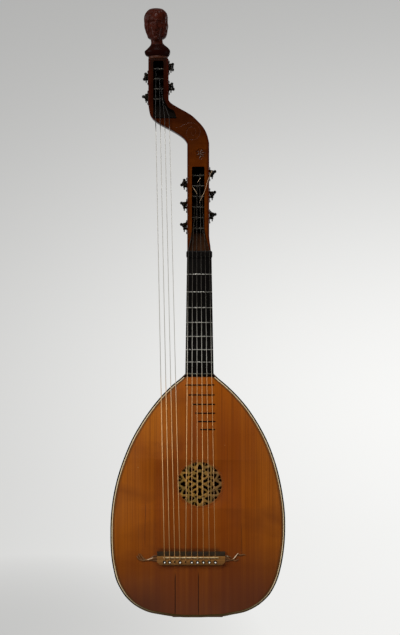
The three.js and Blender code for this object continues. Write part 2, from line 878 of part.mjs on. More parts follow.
function bevelledPrism(outline, front, back, bevel) {
  const shape = new THREE.Shape(outline.map(([x, z]) => new THREE.Vector2(x, z)));
  const geometry = new THREE.ExtrudeGeometry(shape, {
    depth: back - front - bevel * 2,
    bevelEnabled: true,
    bevelThickness: bevel,
    bevelSize: bevel,
    bevelOffset: -bevel,
    bevelSegments: 1,
  });
  geometry.rotateX(Math.PI / 2);
  geometry.translate(0, back - bevel, 0);
  return geometry;
}

// The channel floor rises as a ramp to its open end at the nut.
function channel(left, right, foot, rampTop, top, rampDepth) {
  return sidePrism(
    [
      [-overrun, foot - overrun],
      [rampDepth, foot - overrun],
      [rampDepth, foot],
      [channelDepth, rampTop],
      [channelDepth, top],
      [-overrun, top],
    ],
    left,
    right,
  );
}

const lowerTop = neckTop + lowerChannelTop;
const lowerRamp = neckTop + lowerRampTop;
const lowerChannel = channel(
  -lowerChannelLeft,
  lowerChannelRight,
  extensionFoot,
  lowerRamp,
  lowerTop,
  lowerRampDepth,
);
const lowerMouth = facePrism(
  [
    [-lowerChannelLeft - lowerFootFlare, extensionFoot - overrun],
    [lowerChannelRight + lowerFootFlare + lowerFlare, extensionFoot - overrun],
    [lowerChannelRight, extensionFoot + lowerMouthLength],
    [-lowerChannelLeft, extensionFoot + lowerMouthLength],
  ],
  -overrun,
  channelDepth,
);
const lowerMouthRamp = channel(
  -lowerLeft - overrun,
  lowerRight + lowerFlare + overrun,
  extensionFoot,
  lowerRamp,
  lowerTop,
  lowerRampDepth,
);
const bassNut = neckTop + bassNutHeight;
const upperFoot = bassNut + bassNutWidth / 2;
const upperTop = extensionTop - upperTopWall;
const upperChannelLeft = -upperShift - upperChannelHalfWidth;
const upperChannelRight = -upperShift + upperChannelHalfWidth;
const upperChannel = sidePrism(
  [
    [-overrun, upperFoot],
    [lowerRampDepth, upperFoot],
    [channelDepth, upperFoot + upperRampHeight],
    [channelDepth, upperTop],
    [-overrun, upperTop],
  ],
  upperChannelLeft,
  upperChannelRight,
);
const upperMouth = common(
  facePrism(
    [
      [upperChannelRight - overrun, upperFoot],
      ...upperMouthShares.map(([across, up]) => [
        upperChannelRight + across * upperMouthWidth,
        upperFoot + up * upperMouthHeight,
      ]),
      [upperChannelRight - overrun, upperFoot + upperMouthHeight],
    ],
    -overrun,
    channelDepth,
  ),
  sidePrism(
    [
      [-overrun, upperFoot],
      [lowerRampDepth, upperFoot],
      [upperMouthDepth, upperFoot + upperMouthHeight],
      [-overrun, upperFoot + upperMouthHeight],
    ],
    -upperLeft,
    0,
  ),
);
const bassNutStrip = box(
  upperChannelLeft,
  upperChannelRight + upperMouthWidth,
  -bassNutRise,
  overrun,
  bassNut - bassNutWidth / 2,
  bassNut + bassNutWidth / 2,
);

// Machine heads: side is 1 where the button is on the right and -1 where it is on the left.
function postRow(windings, first, spacing, faces, turns, out, name) {
  return windings.map(({ string, startShare, way }, i) => {
    const side = i % 2 === 0 ? -1 : 1;
    const [leftFace, leftWall, rightWall, rightFace] = faces;
    return {
      side,
      string,
      way,
      name: name(string),
      z: neckTop + first + i * spacing,
      cheek: side < 0 ? leftFace : rightFace,
      far: side < 0 ? rightWall : leftWall,
      start: leftWall + startShare * (rightWall - leftWall),
      turn: turns[i],
      out,
    };
  });
}

const lowerPosts = postRow(
  lowerWindings,
  lowerPostFirst,
  lowerPostSpacing,
  [-lowerLeft, -lowerChannelLeft, lowerChannelRight, lowerRight],
  lowerButtonTurnShares,
  lowerWormOut,
  (string) => stringRadii.length - string,
);
const upperPosts = postRow(
  upperWindings,
  upperPostFirst,
  upperPostSpacing,
  [-upperLeft, upperChannelLeft, upperChannelRight, -upperRight],
  upperButtonTurnShares,
  upperWormOut,
  (string) => stringRadii.length + bassRadii.length - string,
);
const posts = [...lowerPosts, ...upperPosts];

const boreRadius = barrelRadius + bearingClearance;
const postBores = posts.map((post) => {
  const out = post.cheek + post.side * overrun;
  const end = post.far - post.side * (barrelSeat + seam);
  const bore = barX(boreRadius, Math.min(out, end), Math.max(out, end), barrelSides);
  bore.translate(0, postDepth, post.z);
  return bore;
});
const extensionBody = joined([
  cut(bevelledPrism(extensionOutline, 0, extensionDepth, extensionBevel), [
    lowerChannel,
    common(lowerMouth, lowerMouthRamp),
    upperChannel,
    upperMouth,
  ]),
  bassNutStrip,
]);
const extension = cut(extensionBody, postBores);

const thread = (2 * Math.PI * gearPitchRadius) / gearTeeth; // pitch of the worm
const shaftSpacing = gearPitchRadius + wormPitchRadius;
const wormCrest = wormPitchRadius + toothHeight;
const gearTip = gearPitchRadius + toothHeight;
const gearRoot = shaftSpacing - wormCrest - meshClearance;
const wormRoot = Math.min(wormShaftRadius, shaftSpacing - gearTip - meshClearance / 2);

function gearGeometry() {
  const outline = [];
  const halfAt = (radius) => {
    const t = (radius - gearPitchRadius) / toothHeight;
    return (toothThickness / 2 - (toothTaper / 2) * t) / radius;
  };
  for (let i = 0; i < gearTeeth; i += 1) {
    const middle = (2 * Math.PI * (i + 0.5)) / gearTeeth;
    const root = halfAt(gearRoot);
    const tip = halfAt(gearTip);
    for (const [radius, angle] of [[gearRoot, -root], [gearTip, -tip], [gearTip, tip], [gearRoot, root]]) {
      outline.push([radius, middle + angle]);
    }
  }
  // The two faces are turned by the lead of the thread, so the teeth lean as the thread does.
  const lean = Math.asin(gearWidth / 2 / wormPitchRadius) / gearTeeth;
  const face = (x, twist) =>
    outline.map(([r, a]) => new THREE.Vector3(x, -r * Math.sin(a + twist), r * Math.cos(a + twist)));
  return [face(-gearWidth / 2, -lean), face(gearWidth / 2, lean)];
}

function fanEnds(rings) {
  // A ring that isn't convex is closed over its own middle.
  const count = rings[0].length;
  const points = rings.flat();
  const faces = [];
  for (let i = 0; i < count; i += 1) {
    const j = (i + 1) % count;
    faces.push([i, j, j + count], [i, j + count, i + count]);
  }
  const middles = rings.map((ring) => {
    const sum = ring.reduce((total, p) => total.add(p), new THREE.Vector3());
    return sum.divideScalar(ring.length);
  });
  points.push(...middles);
  for (let i = 0; i < count; i += 1) {
    const j = (i + 1) % count;
    faces.push([2 * count, j, i], [2 * count + 1, i + count, j + count]);
  }
  return surface(points, faces);
}

// Two distances out from the cheek, in order from left to right.
function span(side, a, b) {
  return [Math.min(side * a, side * b), Math.max(side * a, side * b)];
}

function postGeometry({ side, cheek, far, out }) {
  const gear = fanEnds(gearGeometry());
  gear.translate(side * out, 0, 0);
  const rod = barX(journalRadius, ...span(side, -seam, out + gearWidth / 2 + gearScrewHeight), journalSides);
  const barrel = barX(barrelRadius, ...span(side, -Math.abs(cheek - far) - barrelSeat, 0), barrelSides);
  return joined([gear, rod, barrel]);
}

// Worm: a thread that is cut in one piece with its shaft, then the button.
function wormGeometry() {
  const crestHalf = toothThickness / 2 - toothTaper / 2;
  const rootHalf = toothThickness / 2 + toothTaper;
  const profile = [
    [-rootHalf, wormRoot],
    [-crestHalf, wormCrest],
    [crestHalf, wormCrest],
    [rootHalf, wormRoot],
  ];
  const shaftFront = -plateHalfWidth - wormEndOut;
  const shaftBack = extensionDepth - postDepth + buttonGap + buttonThickness / 2;
  const turnsInFront = Math.floor(wormTurns / 2);
  const threadFront = -thread * turnsInFront - rootHalf - threadRunout;
  const threadBack = thread * (wormTurns - turnsInFront - 1 / wormSteps) + rootHalf + threadRunout;
  const points = [];
  const columns = [];
  for (let i = 0; i < wormSteps; i += 1) {
    const angle = (2 * Math.PI * i) / wormSteps;
    // Angle 0 of the thread lies towards the gear, and angles turn right-handed round +Y.
    const at = (y, radius) => new THREE.Vector3(-radius * Math.sin(angle), y, -radius * Math.cos(angle));
    const column = [];
    const add = (y, radius) => {
      column.push(points.length);
      points.push(at(y, radius));
    };
    add(shaftFront, wormRoot);
    add(threadFront, wormRoot);
    for (let turn = 0; turn < wormTurns; turn += 1) {
      const step = turn * wormSteps + i;
      const stepsLeft = wormTurns * wormSteps - 1 - step;
      const rise = Math.min(1, step / threadFadeSteps, stepsLeft / threadFadeSteps);
      for (const [offset, radius] of profile) {
        const y = thread * (turn - turnsInFront + i / wormSteps) + offset;
        add(y, wormRoot + (radius - wormRoot) * rise);
      }
    }
    add(threadBack, wormRoot);
    add(shaftBack, wormRoot);
    columns.push(column);
  }
  const faces = [];
  const strip = (a, b) => {
    // Two columns of points, joined from front to back whatever their lengths.
    let i = 0;
    let j = 0;
    while (i + 1 < a.length || j + 1 < b.length) {
      const nextA = i + 1 < a.length ? i + 1 : -1;
      const nextB = j + 1 < b.length ? j + 1 : -1;
      if (nextB < 0 || (nextA >= 0 && i / (a.length - 1) <= j / (b.length - 1))) {
        faces.push([a[i], a[nextA], b[j]]);
        i = nextA;
      } else {
        faces.push([a[i], b[nextB], b[j]]);
        j = nextB;
      }
    }
  };
  for (let i = 0; i + 1 < wormSteps; i += 1) {
    strip(columns[i], columns[i + 1]);
  }
  const last = columns[wormSteps - 1];
  const first = columns[0];
  const size = profile.length;
  // Across the seam turn n runs on into turn n + 1.
  strip(last.slice(0, 2), first.slice(0, 2));
  strip(last.slice(1, 3), first.slice(1, 3 + size));
  strip(last.slice(2, -2 - size), first.slice(2 + size, -2));
  strip(last.slice(-3 - size, -1), first.slice(-3, -1));
  strip(last.slice(-2), first.slice(-2));
  const frontRing = columns.map((column) => column[0]);
  const backRing = columns.map((column) => column[column.length - 1]);
  for (let i = 1; i + 1 < wormSteps; i += 1) {
    faces.push([frontRing[0], frontRing[i], frontRing[i + 1]]);
    faces.push([backRing[0], backRing[i + 1], backRing[i]]);
  }
  return surface(points, faces);
}

function buttonGeometry() {
  const middle = (buttonRadius + buttonWaist) / 2;
  const swing = (buttonRadius - buttonWaist) / 2;
  const count = buttonLobes * buttonLobePoints;
  const outline = Array.from({ length: count }, (_, i) => {
    const angle = (2 * Math.PI * i) / count;
    const radius = middle + swing * Math.cos(buttonLobes * angle);
    return [radius * Math.sin(angle), radius * Math.cos(angle)];
  });
  const front = extensionDepth - postDepth + buttonGap;
  return facePrism(outline, front, front + buttonThickness);
}

const worm = joined([wormGeometry(), buttonGeometry()]);

function plateGeometry({ side, out }) {
  const [plateLeft, plateRight] = span(side, seam, seam + plateThickness);
  const plate = box(plateLeft, plateRight, -plateHalfWidth, plateHalfWidth, -plateBelow, plateAbove);
  const [lugLeft, lugRight] = span(side, seam + plateThickness / 2, out + lugMargin);
  const lugs = [-plateHalfWidth, plateHalfWidth - lugThickness].map((y) =>
    box(lugLeft, lugRight, y, y + lugThickness, shaftSpacing - lugHalfHeight, shaftSpacing + lugHalfHeight),
  );
  const headSpan = span(side, seam + plateThickness / 2, seam + plateThickness + screwHeadHeight);
  const heads = [-plateBelow + plateScrewInset, plateAbove - plateScrewInset].map((z) => {
    const head = barX(screwHeadRadius, ...headSpan, screwHeadSides);
    head.translate(0, 0, z);
    return head;
  });
  const postHoleRadius = journalRadius + bearingClearance;
  const postHole = barX(postHoleRadius, plateLeft - overrun, plateRight + overrun, journalSides);
  const shaftHoleRadius = wormShaftRadius + bearingClearance;
  const shaftHole = barY(shaftHoleRadius, -plateHalfWidth - overrun, plateHalfWidth + overrun, wormSteps);
  shaftHole.translate(side * out, 0, shaftSpacing);
  return cut(joined([plate, ...lugs, ...heads]), [postHole, shaftHole]);
}

// Strings: over the saddle and a nut, then round the barrel. The least gap between turns is printed.
let leastGap = Infinity;

function stringGeometry(radius, route, post, startX, direction) {
  const wind = barrelRadius + windingClearance + radius;
  const pitch = radius * 2 + windingLead;
  const arrival = route[route.length - 1];
  // The last straight stretch touches the winding on its front.
  const dz = post.z - arrival.z;
  const dy = postDepth - arrival.y;
  const reach = Math.hypot(dz, dy);
  const tilt = Math.atan2(dy, dz);
  const begin = tilt - Math.asin(wind / reach);
  const points = [...route];
  const steps = Math.round(windingSteps * windingTurns);
  const windingPoints = [];
  for (let i = 0; i <= steps; i += 1) {
    const turned = (2 * Math.PI * i) / windingSteps;
    // The string meets the barrel on its front, runs up over it and down behind.
    const angle = begin + turned;
    windingPoints.push(
      new THREE.Vector3(
        startX + (direction * pitch * i) / windingSteps,
        postDepth - wind * Math.cos(angle),
        post.z + wind * Math.sin(angle),
      ),
    );
  }
  const end = windingPoints[windingPoints.length - 1];
  const before = windingPoints[windingPoints.length - 2];
  const tail = new THREE.Vector3().subVectors(end, before).setX(0).normalize();
  points.push(...windingPoints, end.clone().addScaledVector(tail, stringTailShare * radius * 2));
  windingPoints.forEach((p, i) => {
    windingPoints.slice(i + windingSteps / 2).forEach((q) => {
      leastGap = Math.min(leastGap, p.distanceTo(q) - radius * 2);
    });
  });
  return tube(points, radius);
}

// A tube of straight stretches between points, mitred at each.
function tube(points, radius) {
  const directions = points.slice(1).map((p, i) => new THREE.Vector3().subVectors(p, points[i]).normalize());
  const rings = [];
  let side = new THREE.Vector3(1, 0, 0);
  points.forEach((p, i) => {
    const before = directions[Math.max(0, i - 1)];
    const after = directions[Math.min(directions.length - 1, i)];
    const tangent = new THREE.Vector3().addVectors(before, after).normalize();
    side = side.clone().addScaledVector(tangent, -side.dot(tangent)).normalize();
    const up = new THREE.Vector3().crossVectors(tangent, side);
    const ring = [];
    for (let k = 0; k < stringSides; k += 1) {
      const angle = (2 * Math.PI * k) / stringSides;
      const out = side.clone().multiplyScalar(Math.cos(angle)).addScaledVector(up, Math.sin(angle));
      ring.push(out.multiplyScalar(radius).add(p));
    }
    rings.push(ring);
  });
  return loft(rings);
}

const pinTop = saddleHeight - pinRow + pinRadius + seam;

function stringRoute(radius, saddleX, nutX, nutFront, nutPlaces) {
  const nutY = nutFront - nutStringGap - radius;
  return [
    new THREE.Vector3(saddleX, -bridgeRise - seam - radius, pinTop + seam),
    new THREE.Vector3(saddleX, saddleFront - seam - radius, saddleHeight),
    ...nutPlaces.map((z) => new THREE.Vector3(nutX, nutY, z)),
  ];
}

function mainString(post) {
  const radius = stringRadii[post.string];
  const saddleX = -saddleStringFirst + post.string * saddleStringSpacing;
  const nutX = -nutStringFirst + post.string * nutStringSpacing;
  const route = stringRoute(radius, saddleX, nutX, -nutRise, [nutFoot, neckTop]);
  return stringGeometry(radius, route, post, post.start, post.way);
}

function bassString(post) {
  const radius = bassRadii[post.string];
  const saddleX = -bassSaddleFirst + post.string * bassSaddleSpacing;
  const nutX = -bassNutFirst + post.string * bassNutSpacing;
  const nutEdges = [bassNut - bassNutWidth / 2, bassNut + bassNutWidth / 2];
  const route = stringRoute(radius, saddleX, nutX, -bassNutRise, nutEdges);
  return stringGeometry(radius, route, post, post.start, post.way);
}

// Carved head on its pedestal
const headFoot = extensionTop + seam;
const headMiddle = -(upperShift + headShift);
const carvedHead = loft(
  headRingShares.map(([up, left, right, front, back]) =>
    Array.from({ length: headSides }, (_, i) => {
      const angle = (2 * Math.PI * i) / headSides;
      const across = Math.cos(angle);
      const deep = Math.sin(angle);
      return new THREE.Vector3(
        headMiddle + across * headHalfWidth * (across < 0 ? left : right),
        postDepth + deep * headHalfDepth * (deep < 0 ? front : back),
        headFoot + up * headTop,
      );
    }),
  ),
);

// Materials and the assembly

const looks = {
  spruce: { color: 0x9c5a1e, roughness: 0.42, metalness: 0 },
  rosewood: { color: 0x5a4a2a, roughness: 0.6, metalness: 0 },
  maple: { color: 0x6b3412, roughness: 0.35, metalness: 0 },
  darkMaple: { color: 0x43190c, roughness: 0.35, metalness: 0 },
  ebony: { color: 0x14110f, roughness: 0.4, metalness: 0 },
  bone: { color: 0xe0d6b4, roughness: 0.5, metalness: 0 },
  walnut: { color: 0x6e5434, roughness: 0.5, metalness: 0 },
  brass: { color: 0x8a7a50, roughness: 0.4, metalness: 1 },
  steel: { color: 0xa8a8a4, roughness: 0.3, metalness: 1 },
  blackButton: { color: 0x101010, roughness: 0.3, metalness: 0 },
  gut: { color: 0xcbbf9a, roughness: 0.5, metalness: 0 },
};

function piece(name, geometry, look) {
  const { color, roughness, metalness } = looks[look];
  const material = new THREE.MeshStandardMaterial({ color, roughness, metalness });
  const shaded = geometry.clone();
  shaded.computeVertexNormals();
  const mesh = new THREE.Mesh(shaded, material);
  mesh.name = name;
  return mesh;
}

const instrument = new THREE.Group();
instrument.position.y = -tailPadInset;

instrument.add(
  piece("soundboard", soundboard, "spruce"),
  piece("rose", rose, "rosewood"),
  piece("edge_binding", edgeBinding, "ebony"),
  piece("soundboard_bars", soundboardBars, "spruce"),
  piece("tail_cap", tailCap, "maple"),
  piece("tail_block", tailBlock, "spruce"),
  piece("neck", neck, "maple"),
  piece("fingerboard", fingerboard, "ebony"),
  piece("nut", nut, "ebony"),
  piece("bridge", bridge, "walnut"),
  piece("saddle", saddle, "bone"),
  piece("neck_extension", extension, "maple"),
  piece("carved_head", carvedHead, "darkMaple"),
);
for (let i = 0; i < ribCount; i += 1) {
  instrument.add(piece(`rib_${i + 1}`, ribGeometry(i), "maple"));
}

for (const post of posts) {
  // A button is turned by any angle, and its gear by that angle over the number of teeth.
  const turn = post.turn * 2 * Math.PI;
  const head = new THREE.Group();
  head.position.set(post.cheek, postDepth, post.z);
  const postMesh = piece(`tuner_post_${post.name}`, postGeometry(post), "steel");
  postMesh.rotation.x = turn / gearTeeth;
  const buttonMesh = piece(`tuner_button_${post.name}`, worm, "blackButton");
  buttonMesh.position.set(post.side * post.out, 0, shaftSpacing);
  buttonMesh.rotation.y = turn;
  head.add(piece(`tuner_plate_${post.name}`, plateGeometry(post), "brass"), postMesh, buttonMesh);
  instrument.add(head);
}
for (const post of lowerPosts) {
  instrument.add(piece(`string_${post.name}`, mainString(post), "gut"));
}
for (const post of upperPosts) {
  instrument.add(piece(`string_${post.name}`, bassString(post), "gut"));
}
console.log(`least gap between the turns of a string: ${leastGap.toFixed(2)} mm`);

export default instrument;
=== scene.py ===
import math

import bmesh
import bpy
import numpy as np
from bpy.props import FloatProperty, FloatVectorProperty, IntProperty, PointerProperty
from mathutils import Matrix, Vector


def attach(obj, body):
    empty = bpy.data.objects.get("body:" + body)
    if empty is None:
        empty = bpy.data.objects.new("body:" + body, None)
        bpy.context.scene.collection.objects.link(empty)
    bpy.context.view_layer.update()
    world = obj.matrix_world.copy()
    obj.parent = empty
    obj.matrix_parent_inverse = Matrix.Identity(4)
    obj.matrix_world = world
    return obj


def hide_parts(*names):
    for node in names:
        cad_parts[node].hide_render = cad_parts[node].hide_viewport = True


bl_info = {
    "name": "Theorbo Lute",
    "version": (1, 0, 0),
    "blender": (4, 5, 0),
    "location": "3D View > Sidebar > Lute",
    "description": "Builds the woods, rose, strings, tuners and carved head of a theorbo lute round its solids",
    "category": "Object",
}

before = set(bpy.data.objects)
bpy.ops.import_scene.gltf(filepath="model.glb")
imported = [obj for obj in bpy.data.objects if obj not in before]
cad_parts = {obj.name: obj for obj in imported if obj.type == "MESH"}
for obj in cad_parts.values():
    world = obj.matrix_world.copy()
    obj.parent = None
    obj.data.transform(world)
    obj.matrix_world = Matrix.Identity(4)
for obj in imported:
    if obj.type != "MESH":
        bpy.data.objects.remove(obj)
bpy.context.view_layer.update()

# Millimetres from here on, measured as a maker would: z from the tail up, y from the front of the
# soundboard back, x from the centre line to the side of the thinnest string.
MM = 0.001
PAD_INSET = 14.0
JOIN = 0.01 * MM

BODY_LENGTH = 500.0
BODY_HALF_WIDTH = 180.0
BOWL_SHARE = 0.92
RIB_COUNT = 7
RIB_THICKNESS = 2.4
BOARD_THICKNESS = 2.6
SEAM = 0.3
RIM_PLANE = BOARD_THICKNESS + SEAM
OUTLINE_SHARES = [
    (0.0044, 0.311, 0.28), (0.011, 0.43, 0.372), (0.0234, 0.59, 0.53), (0.048, 0.724, 0.666),
    (0.0726, 0.806, 0.75), (0.0972, 0.863, 0.811), (0.1464, 0.938, 0.884), (0.1956, 0.975, 0.927),
    (0.2448, 0.998, 0.955), (0.3062, 1.01, 0.976), (0.3678, 1.011, 0.983), (0.4292, 1.002, 0.979),
    (0.4908, 0.981, 0.96), (0.5522, 0.946, 0.93), (0.6138, 0.896, 0.889), (0.6752, 0.833, 0.834),
    (0.7368, 0.756, 0.762), (0.7983, 0.658, 0.669), (0.8598, 0.541, 0.555), (0.9126, 0.419, 0.43),
    (0.955, 0.3, 0.308), (0.982, 0.208, 0.219),
]
TAIL_EDGE_SHARES = [(-0.159, 0.0002), (0.011, 0.0002), (0.182, 0.0027)]
BODY_TOP = 493.1
ROSE = (1.6, 273.5)
ROSE_RADIUS = 49.0
PIXEL = 2.05  # millimetres to a pixel of the photograph

NECK_JOINT = (28.2, 30.0)
NECK_TOP_WIDTH = (24.6, 25.6)
NECK_TOP = 752.0
NECK_LENGTH = NECK_TOP - BODY_LENGTH
NECK_TOP_DEPTH = 21.0
NUT_FOOT = 738.0
NUT_OVERHANG = 1.38
BOARD_FOOT = 493.4
FINGERBOARD_THICKNESS = 4.4
FRET_RULE = 643.7
BODY_FRET_RULE = 611.8
FIRST_FRET_LIFT = 2.2
BODY_FRET_ENDS = [
    (-0.48, 0.54), (-0.373, 0.55), (-0.227, 0.568), (-0.144, 0.568), (-0.037, 0.579), (0.039, 0.568)]

SADDLE_Z = 124.0
BRIDGE = (-86.0, 53.5)
BRIDGE_Z = (107.0, 135.7)
BRIDGE_RISE = 7.0
SADDLE_RISE = 2.0
SADDLE = (-72.4, 39.8)
PIN_Z = 115.0

CHANNEL_DEPTH = 19.0
EXTENSION_DEPTH = 24.0
EXTENSION_TOP = 1146.4
BASS_NUT = 1025.8
LEFT_BEND = [
    (0, 0), (0.012, 0.03), (0.056, 0.102), (0.134, 0.18), (0.262, 0.256), (0.39, 0.334), (0.544, 0.41),
    (0.698, 0.487), (0.801, 0.556), (0.904, 0.641), (0.955, 0.718), (0.98, 0.82), (1, 1),
]
RIGHT_BEND = [
    (0, 0), (0.019, 0.092), (0.038, 0.16), (0.064, 0.229), (0.097, 0.297), (0.144, 0.366), (0.199, 0.433),
    (0.275, 0.502), (0.348, 0.57), (0.422, 0.639), (0.544, 0.707), (0.691, 0.776), (0.815, 0.843),
    (0.937, 0.912), (0.974, 0.946), (1, 1),
]

# Faces of a pegbox across the instrument: outside left, wall, wall, outside right. A winding names the
# string, where it starts across the channel and which way it runs.
LOWER_BOX = {
    "faces": (-24.2, -14.8, 11.3, 20.9), "first": NECK_TOP + 46.2, "spacing": 21.8, "out": 6.2,
    "windings": [(5, 0.76, -1), (0, 0.26, 1), (1, 0.22, 1), (4, 0.8, -1), (2, 0.41, 1), (3, 0.62, 1)],
    "turns": (0.131, 0.225, 0.15, 0.165, 0.33, 0.183), "last": 6,
}
UPPER_BOX = {
    "faces": (-104.1, -94.1, -72.7, -62.7), "first": NECK_TOP + 312.4, "spacing": 20.7, "out": 4.8,
    "windings": [(3, 0.87, -1), (2, 0.776, -1), (1, 0.61, -1), (0, 0.26, 1)],
    "turns": (0.1, 0.04, 0.29, 0.083), "last": 10,
}
FLOWER = (3.1, 951.0)
# The scroll cut into the face of the bend, from its outer end to its eye.
VOLUTE = [
    (-47.6, 1004.1), (-36.9, 1008.4), (-26.7, 1012.9), (-16.4, 1015.2), (-6.2, 1012.1), (1, 1002.9),
    (1.4, 991.6), (-5.8, 982.6), (-17.5, 980.6), (-25, 988), (-24.6, 1000), (-17.4, 1006.6),
    (-9.4, 1003.9), (-6.6, 996.2), (-10.3, 990), (-15.4, 991.2), (-15.6, 996.6)]
POST_DEPTH = 12.0
GEAR_TEETH = 14
GEAR_PITCH_RADIUS = 6.0
WORM_PITCH_RADIUS = 2.3
TOOTH_HEIGHT = 0.6
TOOTH_WIDTH = 0.92
MESH_CLEARANCE = 0.32
THREAD = 2 * math.pi * GEAR_PITCH_RADIUS / GEAR_TEETH
SHAFT_SPACING = GEAR_PITCH_RADIUS + WORM_PITCH_RADIUS
BARREL_RADIUS = 3.5

# Place of the first string and the spacing, from left to right.
SADDLE_FRETTED = (-27.3, 12.06)
SADDLE_BASSES = (-70.7, 10.57)
NUT_FRETTED = (-22.1, 8.72)
NUT_BASSES = (-89.0, 9.3)
WINDING_TURNS = 2.5
WINDING_GAP = 0.5
STRING_RADII = (0.65, 0.52, 0.42, 0.48, 0.4, 0.34)
BASS_RADII = (0.8, 0.76, 0.72, 0.68)


# Shapes


def inside(points):
    """Points in millimetres, put where the solids stand, in metres."""
    placed = np.array(points, float) * MM
    placed[:, 1] -= PAD_INSET * MM
    return placed


def smooth_line(points, steps, closed=False):
    """A curve through the points, with steps new points to each stretch."""
    p = np.array(points, float)
    count = len(p)
    line = []
    for i in range(count if closed else count - 1):
        if closed:
            a, b, c, d = p[(i - 1) % count], p[i], p[(i + 1) % count], p[(i + 2) % count]
        else:
            b, c = p[i], p[i + 1]
            a = p[i - 1] if i > 0 else 2 * b - c
            d = p[i + 2] if i + 2 < count else 2 * c - b
        ta = 0.0
        tb = ta + np.linalg.norm(b - a) ** 0.5 + 1e-9
        tc = tb + np.linalg.norm(c - b) ** 0.5 + 1e-9
        td = tc + np.linalg.norm(d - c) ** 0.5 + 1e-9
        for k in range(steps):
            t = tb + (tc - tb) * k / steps
            ab = (tb - t) / (tb - ta) * a + (t - ta) / (tb - ta) * b
            bc = (tc - t) / (tc - tb) * b + (t - tb) / (tc - tb) * c
            cd = (td - t) / (td - tc) * c + (t - tc) / (td - tc) * d
            abc = (tc - t) / (tc - ta) * ab + (t - ta) / (tc - ta) * bc
            bcd = (td - t) / (td - tb) * bc + (t - tb) / (td - tb) * cd
            line.append((tc - t) / (tc - tb) * abc + (t - tb) / (tc - tb) * bcd)
    if not closed:
        line.append(p[-1])
    return np.array(line)


def full_turn(count):
    """Angles of evenly spaced points round a circle."""
    return np.linspace(0, 2 * math.pi, count, endpoint=False)


def loft(rings, capped=True, closed=True):
    """Rings of equal length, joined in order."""
    rings = [np.array(ring, float) for ring in rings]
    count = len(rings[0])
    points = np.concatenate(rings)
    faces = []
    across = count if closed else count - 1
    for r in range(len(rings) - 1):
        for i in range(across):
            a, b = r * count + i, r * count + (i + 1) % count
            faces.append((a, b, b + count, a + count))
    if capped:
        last = (len(rings) - 1) * count
        faces.append(tuple(range(count))[::-1])
        faces.append(tuple(range(last, last + count)))
    return points, faces


def together(shapes):
    """Several shapes as one list of points and faces."""
    points, faces, start = [], [], 0
    for shape_points, shape_faces in shapes:
        points.append(np.array(shape_points, float))
        faces += [tuple(i + start for i in face) for face in shape_faces]
        start += len(shape_points)
    return np.concatenate(points), faces


def lathe(profile, sides, centre, axis):
    """A turned shape: distances along the axis with radii. The axis is 0 for x, 1 for y, 2 for z."""
    rings = []
    for along, radius in profile:
        angles = 2 * np.pi * np.arange(sides) / sides
        ring = np.zeros((sides, 3))
        ring[:, axis] = along
        ring[:, (axis + 1) % 3] = radius * np.cos(angles)
        ring[:, (axis + 2) % 3] = radius * np.sin(angles)
        rings.append(ring + np.array(centre))
    return loft(rings)


def tube(path, radii, sides):
    """A tube along a path, with its own radius at each point."""
    path = np.array(path, float)
    radii = np.broadcast_to(np.array(radii, float), (len(path),))
    steps = np.diff(path, axis=0)
    steps /= np.linalg.norm(steps, axis=1)[:, None]
    tangents = np.concatenate([steps[:1], steps[:-1] + steps[1:], steps[-1:]])
    tangents /= np.linalg.norm(tangents, axis=1)[:, None]
    side = np.array((1.0, 0.0, 0.0)) if abs(tangents[0][0]) < 0.9 else np.array((0.0, 1.0, 0.0))
    angles = 2 * np.pi * np.arange(sides) / sides
    rings = []
    for point, tangent, radius in zip(path, tangents, radii):
        side = side - side.dot(tangent) * tangent
        side /= np.linalg.norm(side)
        up = np.cross(tangent, side)
        rings.append(point + radius * (np.outer(np.cos(angles), side) + np.outer(np.sin(angles), up)))
    return loft(rings)


def box(low, high):
    corners = [(x, y, z) for x in (low[0], high[0]) for y in (low[1], high[1]) for z in (low[2], high[2])]
    faces = [(0, 1, 3, 2), (4, 6, 7, 5), (0, 4, 5, 1), (2, 3, 7, 6), (0, 2, 6, 4), (1, 5, 7, 3)]
    return np.array(corners, float), faces


def cleaned(mesh, join=0.0, close=False):
    """The mesh with points nearer than join made one, gaps closed if asked, and all faces turned outwards."""
    work = bmesh.new()
    work.from_mesh(mesh)
    if join:
        bmesh.ops.remove_doubles(work, verts=work.verts, dist=join)
    if close:
        gaps = [edge for edge in work.edges if len(edge.link_faces) == 1]
        bmesh.ops.holes_fill(work, edges=gaps, sides=0)
    bmesh.ops.recalc_face_normals(work, faces=work.faces)
    work.to_mesh(mesh)
    work.free()
    return mesh


def as_mesh(name, shape):
    mesh = bpy.data.meshes.new(name)
    points, faces = shape
    mesh.from_pydata(inside(points).tolist(), [], faces)
    return cleaned(mesh)


def mesh_of(obj):
    """The mesh of an object with its modifiers applied. The object goes."""
    bpy.context.view_layer.update()
    graph = bpy.context.evaluated_depsgraph_get()
    mesh = bpy.data.meshes.new_from_object(obj.evaluated_get(graph))
    bpy.data.objects.remove(obj)
    return mesh


def loose(name, data):
    obj = bpy.data.objects.new(name, data)
    bpy.context.scene.collection.objects.link(obj)
    return obj


